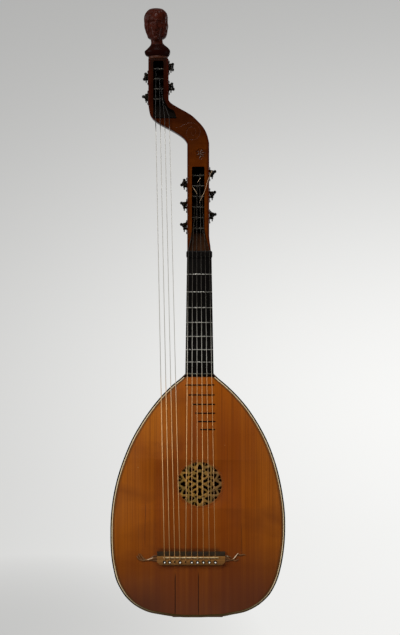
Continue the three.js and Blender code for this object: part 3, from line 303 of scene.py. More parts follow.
def plate(name, outline, front, back, edge, holes=(), steps=2):
    """A flat piece with rounded edges, cut to an outline of x and z, with holes."""
    curve = bpy.data.curves.new(name, "CURVE")
    curve.dimensions = "2D"
    curve.fill_mode = "BOTH"
    curve.extrude = ((back - front) / 2 - edge) * MM
    curve.bevel_depth = edge * MM
    curve.bevel_resolution = steps
    curve.offset = -edge * MM
    for line, turn in ((outline, 1), *((hole, -1) for hole in holes)):
        line = [(x * MM, z * MM) for x, z in line]
        area = sum(a[0] * b[1] - b[0] * a[1] for a, b in zip(line, line[1:] + line[:1]))
        if area * turn < 0:
            line.reverse()
        spline = curve.splines.new("POLY")
        spline.points.add(len(line) - 1)
        for point, (x, z) in zip(spline.points, line):
            point.co = (x, z, 0, 1)
        spline.use_cyclic_u = True
    mesh = mesh_of(loose(name, curve))
    mesh.transform(Matrix.Rotation(math.pi / 2, 4, "X"))
    mesh.transform(Matrix.Translation((0, ((front + back) / 2 - PAD_INSET) * MM, 0)))
    return cleaned(mesh, JOIN)


def carve(name, mesh, cutters, operation="DIFFERENCE"):
    """The mesh with each cutter taken away."""
    body = loose(name, mesh)
    tools = [loose(f"{name}_cutter", cutter) for cutter in cutters]
    for tool in tools:
        cut = body.modifiers.new("cut", "BOOLEAN")
        cut.operation = operation
        cut.object = tool
        cut.solver = "EXACT"
    carved = mesh_of(body)
    for tool in tools:
        bpy.data.objects.remove(tool)
    return carved


def joined(first, second):
    """Two meshes as one."""
    one, two = loose("one", first), loose("two", second)
    with bpy.context.temp_override(active_object=one, selected_editable_objects=[one, two]):
        bpy.ops.object.join()
    mesh = one.data
    bpy.data.objects.remove(one)
    return mesh


def set_in_place(name, made, looks, replaced=(), crease=35, body="instrument"):
    """A finished piece, from a mesh or a shape: its materials, its shading and the body that carries it."""
    mesh = as_mesh(name, made) if isinstance(made, tuple) else made
    obj = loose(name, mesh)
    mesh.name = name
    for look in looks:
        mesh.materials.append(look)
    mesh.shade_smooth()
    mesh.set_sharp_from_angle(angle=math.radians(crease))
    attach(obj, body)
    if replaced:
        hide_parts(*replaced)
    return obj


def paint_faces(mesh, choose):
    """Gives each face the number of its material, from its middle in millimetres."""
    for face in mesh.polygons:
        x, y, z = face.center
        face.material_index = choose(x / MM, y / MM + PAD_INSET, z / MM, face.normal)


# Finishes

GLOSS = "Specular IOR Level"


def paint(red, green, blue):
    """A colour from its 0 to 255 values on screen."""
    values = [v / 255 for v in (red, green, blue)]
    return tuple(v / 12.92 if v <= 0.04045 else ((v + 0.055) / 1.055) ** 2.4 for v in values)


def finish(name):
    """A new material, its nodes and the place on the piece."""
    look = bpy.data.materials.new(name)
    look.use_nodes = True
    return look, look.node_tree, where(look.node_tree)


def dressed(look, colour, roughness, relief, others):
    """The material with its colour, roughness, relief (height, strength, depth) and other values."""
    tree = look.node_tree
    bump = node(tree, "Bump", None, dict(zip(("Height", "Strength", "Distance"), relief)))
    sockets = {"Base Color": colour, "Roughness": roughness, "Normal": bump.outputs["Normal"], **others}
    for socket, value in sockets.items():
        fill(tree.nodes["Principled BSDF"].inputs[socket], value)
    return look


def fill(socket, value):
    if isinstance(value, bpy.types.NodeSocket):
        socket.id_data.links.new(value, socket)
    elif socket.type == "RGBA" and len(value) == 3:
        socket.default_value = (*value, 1)
    else:
        socket.default_value = value


def node(tree, kind, settings=None, sockets=None):
    made = tree.nodes.new("ShaderNode" + kind)
    for key, value in (settings or {}).items():
        setattr(made, key, value)
    for key, value in (sockets or {}).items():
        fill(made.inputs[key], value)
    return made


def where(tree):
    """The place on the piece, in metres."""
    return node(tree, "TexCoord").outputs["Object"]


def stretched(tree, place, scale):
    return node(tree, "Mapping", None, {"Vector": place, "Scale": scale}).outputs["Vector"]


def cloud(tree, place, scale, detail=3.0, roughness=0.55, distortion=0.0):
    """Soft random patches, with a size of its own along each axis."""
    sockets = {
        "Vector": stretched(tree, place, scale), "Scale": 1.0, "Detail": detail, "Roughness": roughness,
        "Distortion": distortion,
    }
    return node(tree, "TexNoise", {"noise_dimensions": "3D"}, sockets).outputs["Fac"]


def levels(tree, value, low, high, to_low=0.0, to_high=1.0):
    sockets = {"Value": value, "From Min": low, "From Max": high, "To Min": to_low, "To Max": to_high}
    return node(tree, "MapRange", {"clamp": True}, sockets).outputs["Result"]


def maths(operation):
    """A function that adds a node with this operation on one or two values."""
    def added(tree, first, second=0.0):
        made = node(tree, "Math", {"operation": operation})
        fill(made.inputs[0], first)
        fill(made.inputs[1], second)
        return made.outputs[0]
    return added


plus, minus, times, over = maths("ADD"), maths("SUBTRACT"), maths("MULTIPLY"), maths("DIVIDE")
raised, larger, size_of = maths("POWER"), maths("MAXIMUM"), maths("ABSOLUTE")
past_whole, whole_part, angle_of = maths("FRACT"), maths("FLOOR"), maths("ARCTAN2")


def oval(tree, first, second, middle, radii=(1.0, 1.0)):
    """The square of the distance from a middle, 1 on the edge of an oval."""
    squares = [raised(tree, over(tree, minus(tree, value, at), radius), 2.0)
               for value, at, radius in zip((first, second), middle, radii)]
    return plus(tree, *squares)


def mixed(tree, share, first, second, blend="MIX"):
    made = node(tree, "Mix", {"data_type": "RGBA", "blend_type": blend})
    fill(made.inputs[0], share)
    fill(made.inputs[6], first)
    fill(made.inputs[7], second)
    return made.outputs[2]


def ramp(tree, value, stops):
    made = node(tree, "ValToRGB", None, {"Fac": value})
    elements = made.color_ramp.elements
    for element, (place, colour) in zip((elements[0], elements[1]), (stops[0], stops[-1])):
        element.position = place
        element.color = (*colour, 1)
    for place, colour in stops[1:-1]:
        elements.new(place).color = (*colour, 1)
    return made.outputs["Color"]


def axes(tree, place):
    split = node(tree, "SeparateXYZ", None, {"Vector": place})
    return split.outputs["X"], split.outputs["Y"], split.outputs["Z"]


def line_at(tree, along, place, half_width):
    """1 on a thin line, 0 beside it."""
    away = size_of(tree, minus(tree, along, place))
    return levels(tree, away, half_width, half_width * 0.4)


def between(tree, along, low, high, soft):
    up = levels(tree, along, low - soft, low + soft)
    down = levels(tree, along, high + soft, high - soft)
    return times(tree, up, down)


def near_sides(tree, across, up, sides, full, none, wander):
    """1 along a left and a right edge line, each given from its foot upwards, and 0 further in."""
    near = 0.0
    for line, way in zip(sides, (1.0, -1.0)):
        height = levels(tree, up, line[0][1] * MM, line[-1][1] * MM)
        span = line[-1][1] - line[0][1]
        edge_at = ramp(tree, height, [((z - line[0][1]) / span, ((x + 200) / 400,) * 3) for x, z in line])
        edge_x = plus(tree, times(tree, edge_at, 0.4), -0.2)
        away = plus(tree, times(tree, minus(tree, across, edge_x), way), wander)
        one = levels(tree, away, none, full)
        near = one if near == 0.0 else larger(tree, near, one)
    return near


def board_sides():
    """The left and right edges of the soundboard inside its lines, each narrower by the slant of the edge."""
    line = rim(5.4)
    foot = int(np.argmin(line[:, 1]))
    sides = []
    for half in (line[foot:], line[: foot + 1][::-1]):
        half = half[half[:, 1] > 34]
        heights = np.linspace(36, half[-1][1] - 1, 26)
        sides.append([(float(np.interp(z, half[:, 1], half[:, 0])), float(z)) for z in heights])
    return sides


def spruce_varnish(name, settings):
    """Old spruce under orange-brown varnish: fine grain lines, soft blotches, closed cracks, dull spots, and a
    painted shadow just above the bridge.
    """
    look, tree, place = finish(name)
    across, _, up = axes(tree, place)
    grain = cloud(tree, place, (620, 40, 3.2), 2.0, 0.6)
    streak = cloud(tree, place, (95, 20, 1.4), 3.0, 0.55)
    blotch = cloud(tree, place, (7, 7, 13), 3.0, 0.5, 0.4)
    height = levels(tree, up, 0.0, 0.5)
    tone = ramp(
        tree, height,
        [
            (0.0, settings.board_foot), (0.2, settings.board_low), (0.36, settings.board_middle),
            (0.75, settings.board_middle), (0.95, settings.board_top)])
    aside = size_of(tree, across)
    worn = levels(tree, plus(tree, aside, times(tree, blotch, 0.05)), 0.1, 0.19, 0.0, 0.6)
    worn = times(tree, worn, levels(tree, up, 0.03, 0.2, 0.1, 1.0))
    shoulder = oval(tree, across, up, (-0.085, 0.41), (0.05, 0.075))
    worn = larger(tree, worn, levels(tree, shoulder, 1.6, 0.0, 0.0, 0.8))
    tone = mixed(tree, worn, tone, settings.board_pale)
    above_foot = levels(tree, up, 0.02, 0.16, 0.5, 1.0)
    streaked = times(tree, levels(tree, streak, 0.42, 0.68, 0.0, 0.26), above_foot)
    pale = mixed(tree, streaked, tone, settings.board_pale)
    dark = mixed(tree, levels(tree, blotch, 0.5, 0.72, 0.0, 0.6), pale, settings.board_dark)
    grained = times(tree, levels(tree, grain, 0.46, 0.7, 0.0, 0.5), above_foot)
    lines = mixed(tree, grained, dark, settings.board_line)
    cracks = 0.0
    for x, low, high, width in (
        (-0.0492, 0.006, 0.088, 0.0013), (-0.0014, 0.006, 0.09, 0.0012), (-0.1105, 0.150, 0.235, 0.0004),
        (0.0875, 0.128, 0.190, 0.0004),
    ):
        wander = times(tree, minus(tree, blotch, 0.5), 0.004)
        bent = plus(tree, across, wander)
        one = times(tree, line_at(tree, bent, x, width), between(tree, up, low, high, 0.006))
        cracks = one if cracks == 0.0 else larger(tree, cracks, one)
    cracked = mixed(tree, times(tree, cracks, 0.95), lines, paint(28, 11, 7))
    # Painted shadow: a soft dark band on the board just above the bridge.
    bridge_shadow = times(
        tree, between(tree, up, 0.1345, 0.1415, 0.003), between(tree, across, -0.083, 0.042, 0.004))
    cracked = mixed(tree, times(tree, bridge_shadow, 0.6), cracked, paint(44, 22, 8))
    low_right = times(tree, levels(tree, across, 0.01, 0.12), levels(tree, up, 0.15, 0.05))
    cracked = mixed(tree, times(tree, low_right, 0.4), cracked, paint(74, 32, 22))
    low_left = times(tree, levels(tree, across, -0.05, -0.1), levels(tree, up, 0.1, 0.03))
    cracked = mixed(tree, times(tree, low_left, 0.55), cracked, paint(66, 34, 24))
    cracked = mixed(
        tree, times(tree, near_sides(tree, across, up, board_sides(), 0.0024, 0.0048, 0.0), 0.6), cracked,
        paint(72, 42, 12))
    dents = node(tree, "TexVoronoi", {"feature": "F1"}, {"Vector": place, "Scale": 44.0, "Randomness": 1.0})
    speck = levels(tree, dents.outputs["Distance"], 0.055, 0.03, 0.0, 0.75)
    rare = levels(tree, cloud(tree, place, (16, 16, 16), 1.0), 0.56, 0.6)
    marked = mixed(tree, times(tree, speck, rare), cracked, paint(176, 128, 78))
    rough = levels(tree, cloud(tree, place, (26, 26, 9), 3.0), 0.3, 0.7, 0.3, 0.5)
    return dressed(look, marked, rough, (minus(tree, grain, cracks), 0.25, 0.0003), {GLOSS: 0.18})


def flamed_maple(name, body, flame, edge, flame_scale=(26, 26, 150), depth=0.55, roughness=0.3, darker_up=(),
                 sides=(), gloss=0.22, ribs=0):
    """Maple with bands of curl across the grain, under a warm varnish that may get darker with height, partly
    as a darker varnish and partly as painted shade where less light reaches.

    Sides are the lines of left and right edges, along which painted shade darkens the rounded edges.
    """
    look, tree, place = finish(name)
    # Darker with height: darker varnish together with painted shade where less light reaches.
    for low, high, dark_body, dark_flame in darker_up:
        share = levels(tree, axes(tree, place)[2], low, high)
        body = mixed(tree, share, body, dark_body)
        flame = mixed(tree, share, flame, dark_flame)
    curl = cloud(tree, place, flame_scale, 2.5, 0.5, 0.35)
    pores = cloud(tree, place, (420, 420, 26), 2.0, 0.6)
    patch = cloud(tree, place, (14, 14, 8), 3.0, 0.55)
    flamed = mixed(tree, levels(tree, curl, 0.36, 0.64, 0.0, depth), body, flame)
    worn = mixed(tree, levels(tree, patch, 0.46, 0.72, 0.0, 0.5), flamed, edge)
    lined = mixed(tree, levels(tree, pores, 0.56, 0.74, 0.0, 0.4), worn, edge)
    if sides:
        across, _, up = axes(tree, place)
        # Painted shade along the rounded left and right edges.
        wander = times(tree, minus(tree, cloud(tree, place, (30, 30, 12), 3.0), 0.5), 0.0035)
        thick = near_sides(tree, across, up, sides, 0.0012, 0.0062, wander)
        lined = mixed(tree, times(tree, thick, 0.8), lined, paint(46, 8, 2))
    if ribs:
        across, back, _ = axes(tree, place)
        deep = over(tree, plus(tree, back, (PAD_INSET - BOARD_THICKNESS) * MM), BOWL_SHARE)
        turned = times(tree, angle_of(tree, deep, across), ribs / math.pi)
        share = past_whole(tree, turned)
        joint = size_of(tree, minus(tree, share, 0.5))
        shade = past_whole(tree, times(tree, whole_part(tree, turned), 0.618))
        lined = mixed(tree, times(tree, shade, 0.45), lined, edge)
        lined = mixed(tree, levels(tree, joint, 0.485, 0.495, 0.0, 0.85), lined, paint(36, 14, 5))
    rough = levels(tree, patch, 0.3, 0.7, roughness - 0.06, roughness + 0.14)
    return dressed(look, lined, rough, (plus(tree, pores, curl), 0.16, 0.0002), {GLOSS: gloss})


def dense_wood(name, body, line, worn, scale=(340, 340, 9), roughness=0.36, coat=0.0, wear=0.35,
               gloss=0.3, dirt=()):
    """Dark close-grained wood, rubbed paler in places.

    The second tone is the height where it begins, the height where it is full, and its two colours. The edge
    lines take it at the tail; in the pegbox channel it lightens the painted shade on the shallow ramp.
    """
    look, tree, place = finish(name)
    if dirt:
        share = levels(tree, axes(tree, place)[2], *dirt[:2])
        body, line, worn = (
            mixed(tree, share, first_colour, dirty)
            for first_colour, dirty in zip((body, line, worn), (dirt[2], dirt[3], dirt[2])))
    grain = cloud(tree, place, scale, 2.5, 0.6)
    rub = cloud(tree, place, (30, 30, 22), 4.0, 0.6)
    lined = mixed(tree, levels(tree, grain, 0.46, 0.68, 0.0, 0.7), body, line)
    rubbed = mixed(tree, levels(tree, rub, 0.52, 0.72, 0.0, wear), lined, worn)
    rough = levels(tree, rub, 0.3, 0.7, roughness, roughness + 0.18)
    return dressed(
        look, rubbed, rough, (grain, 0.22, 0.0002),
        {"Coat Weight": coat, "Coat Roughness": 0.12, GLOSS: gloss})


def rose_wood(name):
    """Olive wood with golden patches, and the board's varnish run over the rim."""
    look, tree, place = finish(name)
    across, _, up = axes(tree, place)
    fibre = cloud(tree, place, (260, 60, 60), 2.5, 0.6)
    patch = cloud(tree, place, (60, 60, 60), 3.0, 0.6)
    gold = mixed(tree, levels(tree, patch, 0.4, 0.64), paint(112, 88, 40), paint(156, 112, 44))
    brown = mixed(tree, levels(tree, across, 0.0, 0.036, 0.1, 0.8), gold, paint(104, 74, 42))
    lined = mixed(tree, levels(tree, fibre, 0.5, 0.72, 0.0, 0.5), brown, paint(82, 66, 30))
    out = raised(tree, oval(tree, across, up, (ROSE[0] * MM, ROSE[1] * MM)), 0.5)
    varnished = mixed(tree, levels(tree, out, 0.0432, 0.0462), lined, paint(116, 56, 10))
    rough = levels(tree, patch, 0.3, 0.7, 0.36, 0.5)
    return dressed(look, varnished, rough, (fibre, 0.2, 0.0002), {GLOSS: 0.16})


def old_metal(name, body, tarnish, roughness=0.34, share=0.6):
    """Metal with a fine brushed face and patches of tarnish."""
    look, tree, place = finish(name)
    patch = cloud(tree, place, (160, 160, 160), 4.0, 0.65)
    brush = cloud(tree, place, (900, 900, 4000), 2.0, 0.6)
    colour = mixed(tree, levels(tree, patch, 0.42, 0.68, 0.0, share), body, tarnish)
    rough = levels(tree, patch, 0.3, 0.7, roughness - 0.08, roughness + 0.24)
    return dressed(look, colour, rough, (brush, 0.12, 0.0001), {"Metallic": 1.0})


def old_bone(name, body, stain, roughness=0.34):
    """Bone or pearl, yellowed unevenly."""
    look, tree, place = finish(name)
    patch = cloud(tree, place, (90, 90, 90), 4.0, 0.6)
    fibre = cloud(tree, place, (160, 700, 700), 2.0, 0.6)
    stained = mixed(tree, levels(tree, patch, 0.4, 0.7, 0.0, 0.6), body, stain)
    colour = mixed(tree, levels(tree, fibre, 0.5, 0.75, 0.0, 0.3), stained, stain)
    rough = levels(tree, patch, 0.3, 0.7, roughness, roughness + 0.15)
    return dressed(
        look, colour, rough, (fibre, 0.1, 0.0001),
        {"Subsurface Weight": 0.08, "Subsurface Radius": (0.002, 0.0015, 0.001)})


def horn_button(name, body, roughness=0.16):
    """Black polished horn, with faint brown clouds and hair scratches."""
    look, tree, place = finish(name)
    patch = cloud(tree, place, (180, 180, 180), 3.0, 0.6)
    scratch = cloud(tree, place, (2600, 2600, 300), 2.0, 0.7)
    colour = mixed(tree, levels(tree, patch, 0.5, 0.75, 0.0, 0.5), body, paint(52, 36, 26))
    rough = levels(tree, scratch, 0.35, 0.75, roughness, roughness + 0.2)
    return dressed(look, colour, rough, (scratch, 0.08, 0.0001), {GLOSS: 0.16})


def gut(name, body, shade, tones, turns=0.0):
    """A string: twisted gut, or wire wound round a core.

    Each tone that it takes on higher up has the heights where it begins and is full, and two colours.
    """
    look, tree, place = finish(name)
    for low, high, tone, dark in tones:
        share = levels(tree, axes(tree, place)[2], low, high)
        body = mixed(tree, share, body, tone)
        shade = mixed(tree, share, shade, dark)
    dirt = cloud(tree, place, (300, 300, 30), 3.0, 0.6)
    coarse = {"Vector": place, "Scale": 900.0, "Distortion": 0.4, "Detail": 1.0}
    twist = node(tree, "TexWave", {"wave_type": "BANDS", "bands_direction": "Z"}, coarse).outputs["Fac"]
    shaded = mixed(tree, levels(tree, dirt, 0.42, 0.72, 0.0, 0.6), body, shade)
    colour = mixed(tree, levels(tree, twist, 0.0, 0.5, 0.25 + turns * 0.2, 0.0), shaded, shade)
    rough = levels(tree, dirt, 0.3, 0.7, 0.28, 0.5)
    return dressed(look, colour, rough, (twist, 0.2 + 0.3 * turns, 0.0001), {"Metallic": turns, GLOSS: 0.2})


# Body


def body_line():
    """The soundboard's outline, from the right shoulder round the tail to the left."""
    rows = [
        (up * BODY_LENGTH, left * BODY_HALF_WIDTH, right * BODY_HALF_WIDTH)
        for up, left, right in OUTLINE_SHARES]
    rows.append((BODY_LENGTH, *NECK_JOINT))
    tail = [(across * BODY_HALF_WIDTH, up * BODY_LENGTH) for across, up in TAIL_EDGE_SHARES]
    points = [(right, z) for z, _, right in reversed(rows)]
    points += tail[::-1]
    points += [(-left, z) for z, left, _ in rows]
    corners = np.array(points)
    line = smooth_line(points, 7)
    low, high = corners.min(axis=0), corners.max(axis=0)
    return np.clip(line, low, high)


def half_widths(z):
    """Left and right half width of the body at a height, smooth like its edge."""
    line = body_line()
    turn = int(np.argmin(line[:, 1]))
    right, left = line[: turn + 1][::-1], line[turn:]
    return np.interp(z, left[:, 1], -left[:, 0]), np.interp(z, right[:, 1], right[:, 0])


def rim(inwards, top=BODY_TOP):
    """The outline, moved in from the edge and cut off at the fingerboard."""
    line = body_line()
    ahead = np.roll(line, -1, axis=0) - np.roll(line, 1, axis=0)
    ahead[0], ahead[-1] = line[1] - line[0], line[-1] - line[-2]
    ahead /= np.linalg.norm(ahead, axis=1)[:, None]
    moved = line + inwards * np.column_stack((ahead[:, 1], -ahead[:, 0]))
    kept = moved[moved[:, 1] < top - 0.01]
    first, last = moved[moved[:, 1] >= top - 0.01][0], moved[moved[:, 1] >= top - 0.01][-1]
    ends = []
    for outside, near in ((first, kept[0]), (last, kept[-1])):
        share = (top - near[1]) / (outside[1] - near[1]) if outside[1] != near[1] else 0
        ends.append(near + (outside - near) * share)
    return np.concatenate([[ends[0]], kept, [ends[1]]])


def string_place(row, number):
    """Where a string crosses a saddle or nut."""
    first, spacing = row
    return first + number * spacing


def fret_place(number):
    """Height of a fret: the metal ones up to the eighth, then the wooden ones, which lie closer together."""
    if number > 9:
        return fret_place(9) - BODY_FRET_RULE * (2 ** (-9 / 12) - 2 ** (-number / 12))
    return NUT_FOOT - FRET_RULE * (1 - 2 ** (-number / 12)) + (FIRST_FRET_LIFT if number == 1 else 0)


def neck_sides(share):
    """Left and right half width of the neck, from its joint, 0, to its top, 1."""
    return [joint + (top - joint) * share for joint, top in zip(NECK_JOINT, NECK_TOP_WIDTH)]


def neck_at(z):
    """The same at a height."""
    return neck_sides((z - BODY_LENGTH) / NECK_LENGTH)


def bar_across(left, right, z, width, height, base, sides=8, end=0.8):
    """A low bar with a round top, let down at both ends."""
    rings = []
    for x, rise in ((left, 0.15), (left + end * 0.4, 0.7), (left + end, 1), (right - end, 1),
                    (right - end * 0.4, 0.7), (right, 0.15)):
        ring = [(x, base + 0.4, z - width / 2), (x, base - height * rise * 0.35, z - width / 2)]
        for k in range(1, sides):
            angle = math.pi * k / sides
            y = base - height * rise * (0.35 + 0.65 * math.sin(angle))
            ring.append((x, y, z - width / 2 * math.cos(angle)))
        ring += [(x, base - height * rise * 0.35, z + width / 2), (x, base + 0.4, z + width / 2)]
        rings.append(ring)
    return loft(rings)


def half_round(z, middle, half, front, deep, count, fullness=1.0):
    """A level ring, flat in front and round behind. A fullness under 1 makes it squarer."""
    return [(middle + half * math.copysign(abs(math.cos(a)) ** fullness, math.cos(a)),
             front + deep * math.sin(a), z) for a in np.linspace(0, math.pi, count)]


def strip(outer, inner, front, back, rounding=0.0):
    """A flat strip between two lines, with a rounded outer edge."""
    sections = []
    for a, b in zip(outer, inner):
        ring = []
        across = (b - a) / max(np.linalg.norm(b - a), 1e-6)
        for k in range(5):
            angle = math.pi / 2 * k / 4
            step = a + across * rounding * (1 - math.cos(angle))
            ring.append((step[0], front + rounding * (1 - math.sin(angle)), step[1]))
        ring += [(b[0], front, b[1]), (b[0], back, b[1]), (a[0], back, a[1])]
        sections.append(ring)
    return loft(sections)


def sheet(outer, inner):
    """A thin shell between two grids of points."""
    outer, inner = np.array(outer), np.array(inner)
    rows, columns = outer.shape[:2]
    count = rows * columns
    points = np.concatenate([outer.reshape(-1, 3), inner.reshape(-1, 3)])
    faces = []
    for r in range(rows - 1):
        for c in range(columns - 1):
            a = r * columns + c
            faces.append((a, a + 1, a + columns + 1, a + columns))
            faces.append((a + count, a + columns + count, a + columns + 1 + count, a + 1 + count))
    edge = list(range(columns - 1))
    edge += [r * columns + columns - 1 for r in range(rows - 1)]
    edge += [(rows - 1) * columns + c for c in range(columns - 1, 0, -1)]
    edge += [r * columns for r in range(rows - 1, 0, -1)]
    for a, b in zip(edge, edge[1:] + edge[:1]):
        faces.append((b, a, a + count, b + count))
    return points, faces


def ring_of_holes(count, out, shape, turn=0.0):
    """Copies of a hole round the middle of the rose. The shape is outwards and across, in millimetres."""
    holes = []
    for k in range(count):
        angle = 2 * math.pi * (k + turn) / count
        holes.append([
            (ROSE[0] + (out + a) * math.cos(angle) - b * math.sin(angle),
             ROSE[1] + (out + a) * math.sin(angle) + b * math.cos(angle))
            for a, b in shape
        ])
    return holes


def both_sides(half, *tip):
    """A symmetric shape from its upper half and the points at its tip."""
    return [*half, *tip, *((out, -across) for out, across in half[::-1])]


def rounded(corners, steps=4):
    """A closed shape with its corners drawn round."""
    return [tuple(point) for point in smooth_line(corners, steps, closed=True)]


def millimetres(name, description, default, low, high):
    """A length that can be set."""
    return FloatProperty(name=name, description=f"{description}, mm", default=default, min=low, max=high)


def fraction(name, description, default):
    """A share that can be set, from 0 to 1."""
    return FloatProperty(name=name, description=description, default=default, min=0, max=1, subtype="FACTOR")


def tint(name, description, default):
    """A colour that can be set."""
    return FloatVectorProperty(name=name, description=description, default=default, subtype="COLOR")


class LuteBody(bpy.types.PropertyGroup):
    edge_dark: millimetres("Outer Edge Line", "Width of the dark line on the edge", 2.6, 1.2, 2.8)
    edge_pale: millimetres("Pale Edge Line", "Width of the pale line", 1.9, 1.2, 2.5)
    edge_rounding: millimetres("Edge Rounding", "Radius of the body's outer edge", 0.5, 0.2, 1.2)
    rib_swell: fraction("Rib Swell", "0 for flat ribs, 1 for a fully round bowl", 0.62)
    rose_edge: millimetres("Rose Edge", "Rounding of the carved edges of the rose", 0.32, 0.05, 0.45)
    board_foot: tint("Soundboard Foot", "Varnish at the tail", paint(98, 51, 29))
    board_low: tint("Soundboard Low", "Varnish round the bridge", paint(104, 48, 10))
    board_middle: tint("Soundboard Middle", "Varnish at the rose", paint(122, 56, 2))
    board_top: tint("Soundboard Top", "Varnish at the shoulders", paint(140, 70, 4))
    board_pale: tint("Pale Streak", "Streaks of thin varnish", paint(158, 88, 14))
    board_dark: tint("Dark Blotch", "Blotches of thick varnish", paint(96, 42, 4))
    board_line: tint("Grain Line", "Hard grain of the spruce", paint(86, 36, 2))


class LuteNeck(bpy.types.PropertyGroup):
    fret_width: millimetres("Metal Fret Width", "Across the wire", 1.7, 1, 1.8)
    fret_height: millimetres("Metal Fret Height", "Above the fingerboard", 0.98, 0.5, 1)
    wood_fret_height: millimetres("Wooden Fret Height", "Above the soundboard", 1.08, 0.5, 1.1)
    channel_edge: millimetres("Pegbox Edge", "Rounding of the pegbox edges", 1.5, 0.5, 1.6)
    maple: tint("Maple", "Varnished maple of neck and pegboxes", paint(122, 58, 14))
    maple_flame: tint("Maple Flame", "Curl of the maple", paint(150, 78, 22))
    bend: tint("Pegbox Maple", "Varnish of the bent neck extension", paint(72, 29, 2))
    bend_flame: tint("Pegbox Flame", "Curl in the neck extension", paint(90, 41, 4))
    maple_worn: tint("Maple Shade", "Darker varnish in the grain", paint(70, 28, 10))


class LuteTuners(bpy.types.PropertyGroup):
    lobe_size: millimetres("Lobe Size", "Radius of the round lobes of the buttons", 3.2, 2.2, 3.6)
    button_edge: millimetres("Button Edge", "Rounding of the buttons", 1.8, 0.5, 2.0)
    roller: tint("Roller", "Posts across the pegboxes", paint(40, 38, 34))
    plate: tint("Plate", "Darkened brass of plates and wheels", paint(28, 21, 13))
    button: tint("Button", "Horn of the buttons", paint(7, 6, 6))


class LuteStrings(bpy.types.PropertyGroup):
    sides: IntProperty(name="String Sides", description="Flats round a string", default=10, min=6, max=24)
    plain: tint("Plain String", "Gut of the fretted strings", paint(244, 196, 136))
    low: tint("String at Bridge", "All strings near the bridge, rubbed dull", paint(168, 122, 72))
    wound: tint("Wound String", "Wire of the bass strings", paint(248, 196, 136))


class LuteHead(bpy.types.PropertyGroup):
    grain_size: millimetres("Carving Detail", "Finest cut of the carving", 0.55, 0.3, 1.5)
    wood: tint("Head Wood", "Stained wood of the head", paint(42, 13, 6))
    moulding: tint("Moulding", "Band under the head", paint(52, 24, 11))


class LuteStage(bpy.types.PropertyGroup):
    lamp: FloatProperty(
        name="Studio Light", description="Strength of the large lamps", default=1.0, min=0, max=4)
    front_share: fraction("Front Share", "Brightness of the paper in front, against behind", 0.16)
    backdrop: tint("Backdrop", "Paper round the lute", (1.0, 1.0, 0.985))


def look_of(name, make, *tones, **settings):
    """The lute's finish with this name, made the first time it is asked for."""
    name = f"lute_{name}"
    return bpy.data.materials.get(name) or make(name, *tones, **settings)


def maple_look():
    neck = bpy.context.scene.lute_neck
    return look_of("varnished_maple", flamed_maple, neck.maple, neck.maple_flame, neck.maple_worn)


def bend_look():
    neck = bpy.context.scene.lute_neck
    # The extension gets darker upwards, to near black just under the head, as darker varnish with painted
    # shade, and painted shade darkens its edges.
    return look_of(
        "bend_maple", flamed_maple, neck.bend, neck.bend_flame, paint(44, 15, 2), (40, 40, 90), 0.6, 0.26,
        ((0.91, 1.06, paint(26, 5, 1), paint(38, 11, 3)), (1.122, 1.136, paint(9, 4, 3), paint(14, 7, 5))),
        bend_sides(), 0.03)


def bend_sides():
    """The left and right edges of the neck extension as lines up from its foot, thinned out."""
    line = extension_outline()
    split = next(i for i, point in enumerate(line) if point[0] == UPPER_BOX["faces"][0])
    right, left = line[1:split], [*line[split:][::-1], line[0]][::-1]
    left = sorted(left, key=lambda p: p[1])
    return [[side[round(k)] for k in np.linspace(0, len(side) - 1, 26)] for side in (left, right)]


def bowl_look():
    neck = bpy.context.scene.lute_neck
    return look_of(
        "bowl_maple", flamed_maple, neck.maple, neck.maple_flame, neck.maple_worn, (9, 9, 120), 0.85,
        ribs=RIB_COUNT)


def ebony_look():
    return look_of(
        "ebony", dense_wood, paint(9, 7, 6), paint(4, 3, 3), paint(20, 16, 13), roughness=0.22, gloss=0.08)


def walnut_look():
    return look_of(
        "bridge_walnut", dense_wood, paint(124, 84, 40), paint(90, 56, 24), paint(148, 106, 56),
        (9, 300, 300), 0.36, gloss=0.16)


def brass_look():
    plate = bpy.context.scene.lute_tuners.plate
    return look_of("tuner_brass", old_metal, plate, paint(12, 9, 6), 0.4)


def pearl_look():
    return look_of("pearl", old_bone, paint(250, 248, 238), paint(222, 218, 202), 0.2)


def inner_spruce_look():
    return look_of(
        "inner_spruce", dense_wood, paint(196, 160, 108), paint(168, 126, 78), paint(150, 112, 70),
        (500, 40, 6), 0.6)


class LUTE_OT_soundboard(bpy.types.Operator):
    """Make the soundboard with its round opening and the wooden frets glued on it"""
    bl_idname = "lute.soundboard"
    bl_label = "Soundboard"

    def execute(self, context):
        body = context.scene.lute_body
        opening = [
            (ROSE[0] + (ROSE_RADIUS + 0.15) * math.cos(a), ROSE[1] + (ROSE_RADIUS + 0.15) * math.sin(a))
            for a in full_turn(144)]
        edge = [tuple(p) for p in rim(5.45, BODY_TOP - 0.05)]
        board = plate("soundboard_top", edge, 0, BOARD_THICKNESS, 0.12, [opening], 1)
        spruce = look_of("varnished_spruce", spruce_varnish, body)
        set_in_place("soundboard_top", board, [spruce], ["soundboard"])
        width = sum(NECK_JOINT)
        height = context.scene.lute_neck.wood_fret_height
        bars = [bar_across(left * width, right * width, fret_place(9 + i), 2.5, height, 0)
                for i, (left, right) in enumerate(BODY_FRET_ENDS)]
        set_in_place("wooden_frets", together(bars), [ebony_look()])
        return {"FINISHED"}


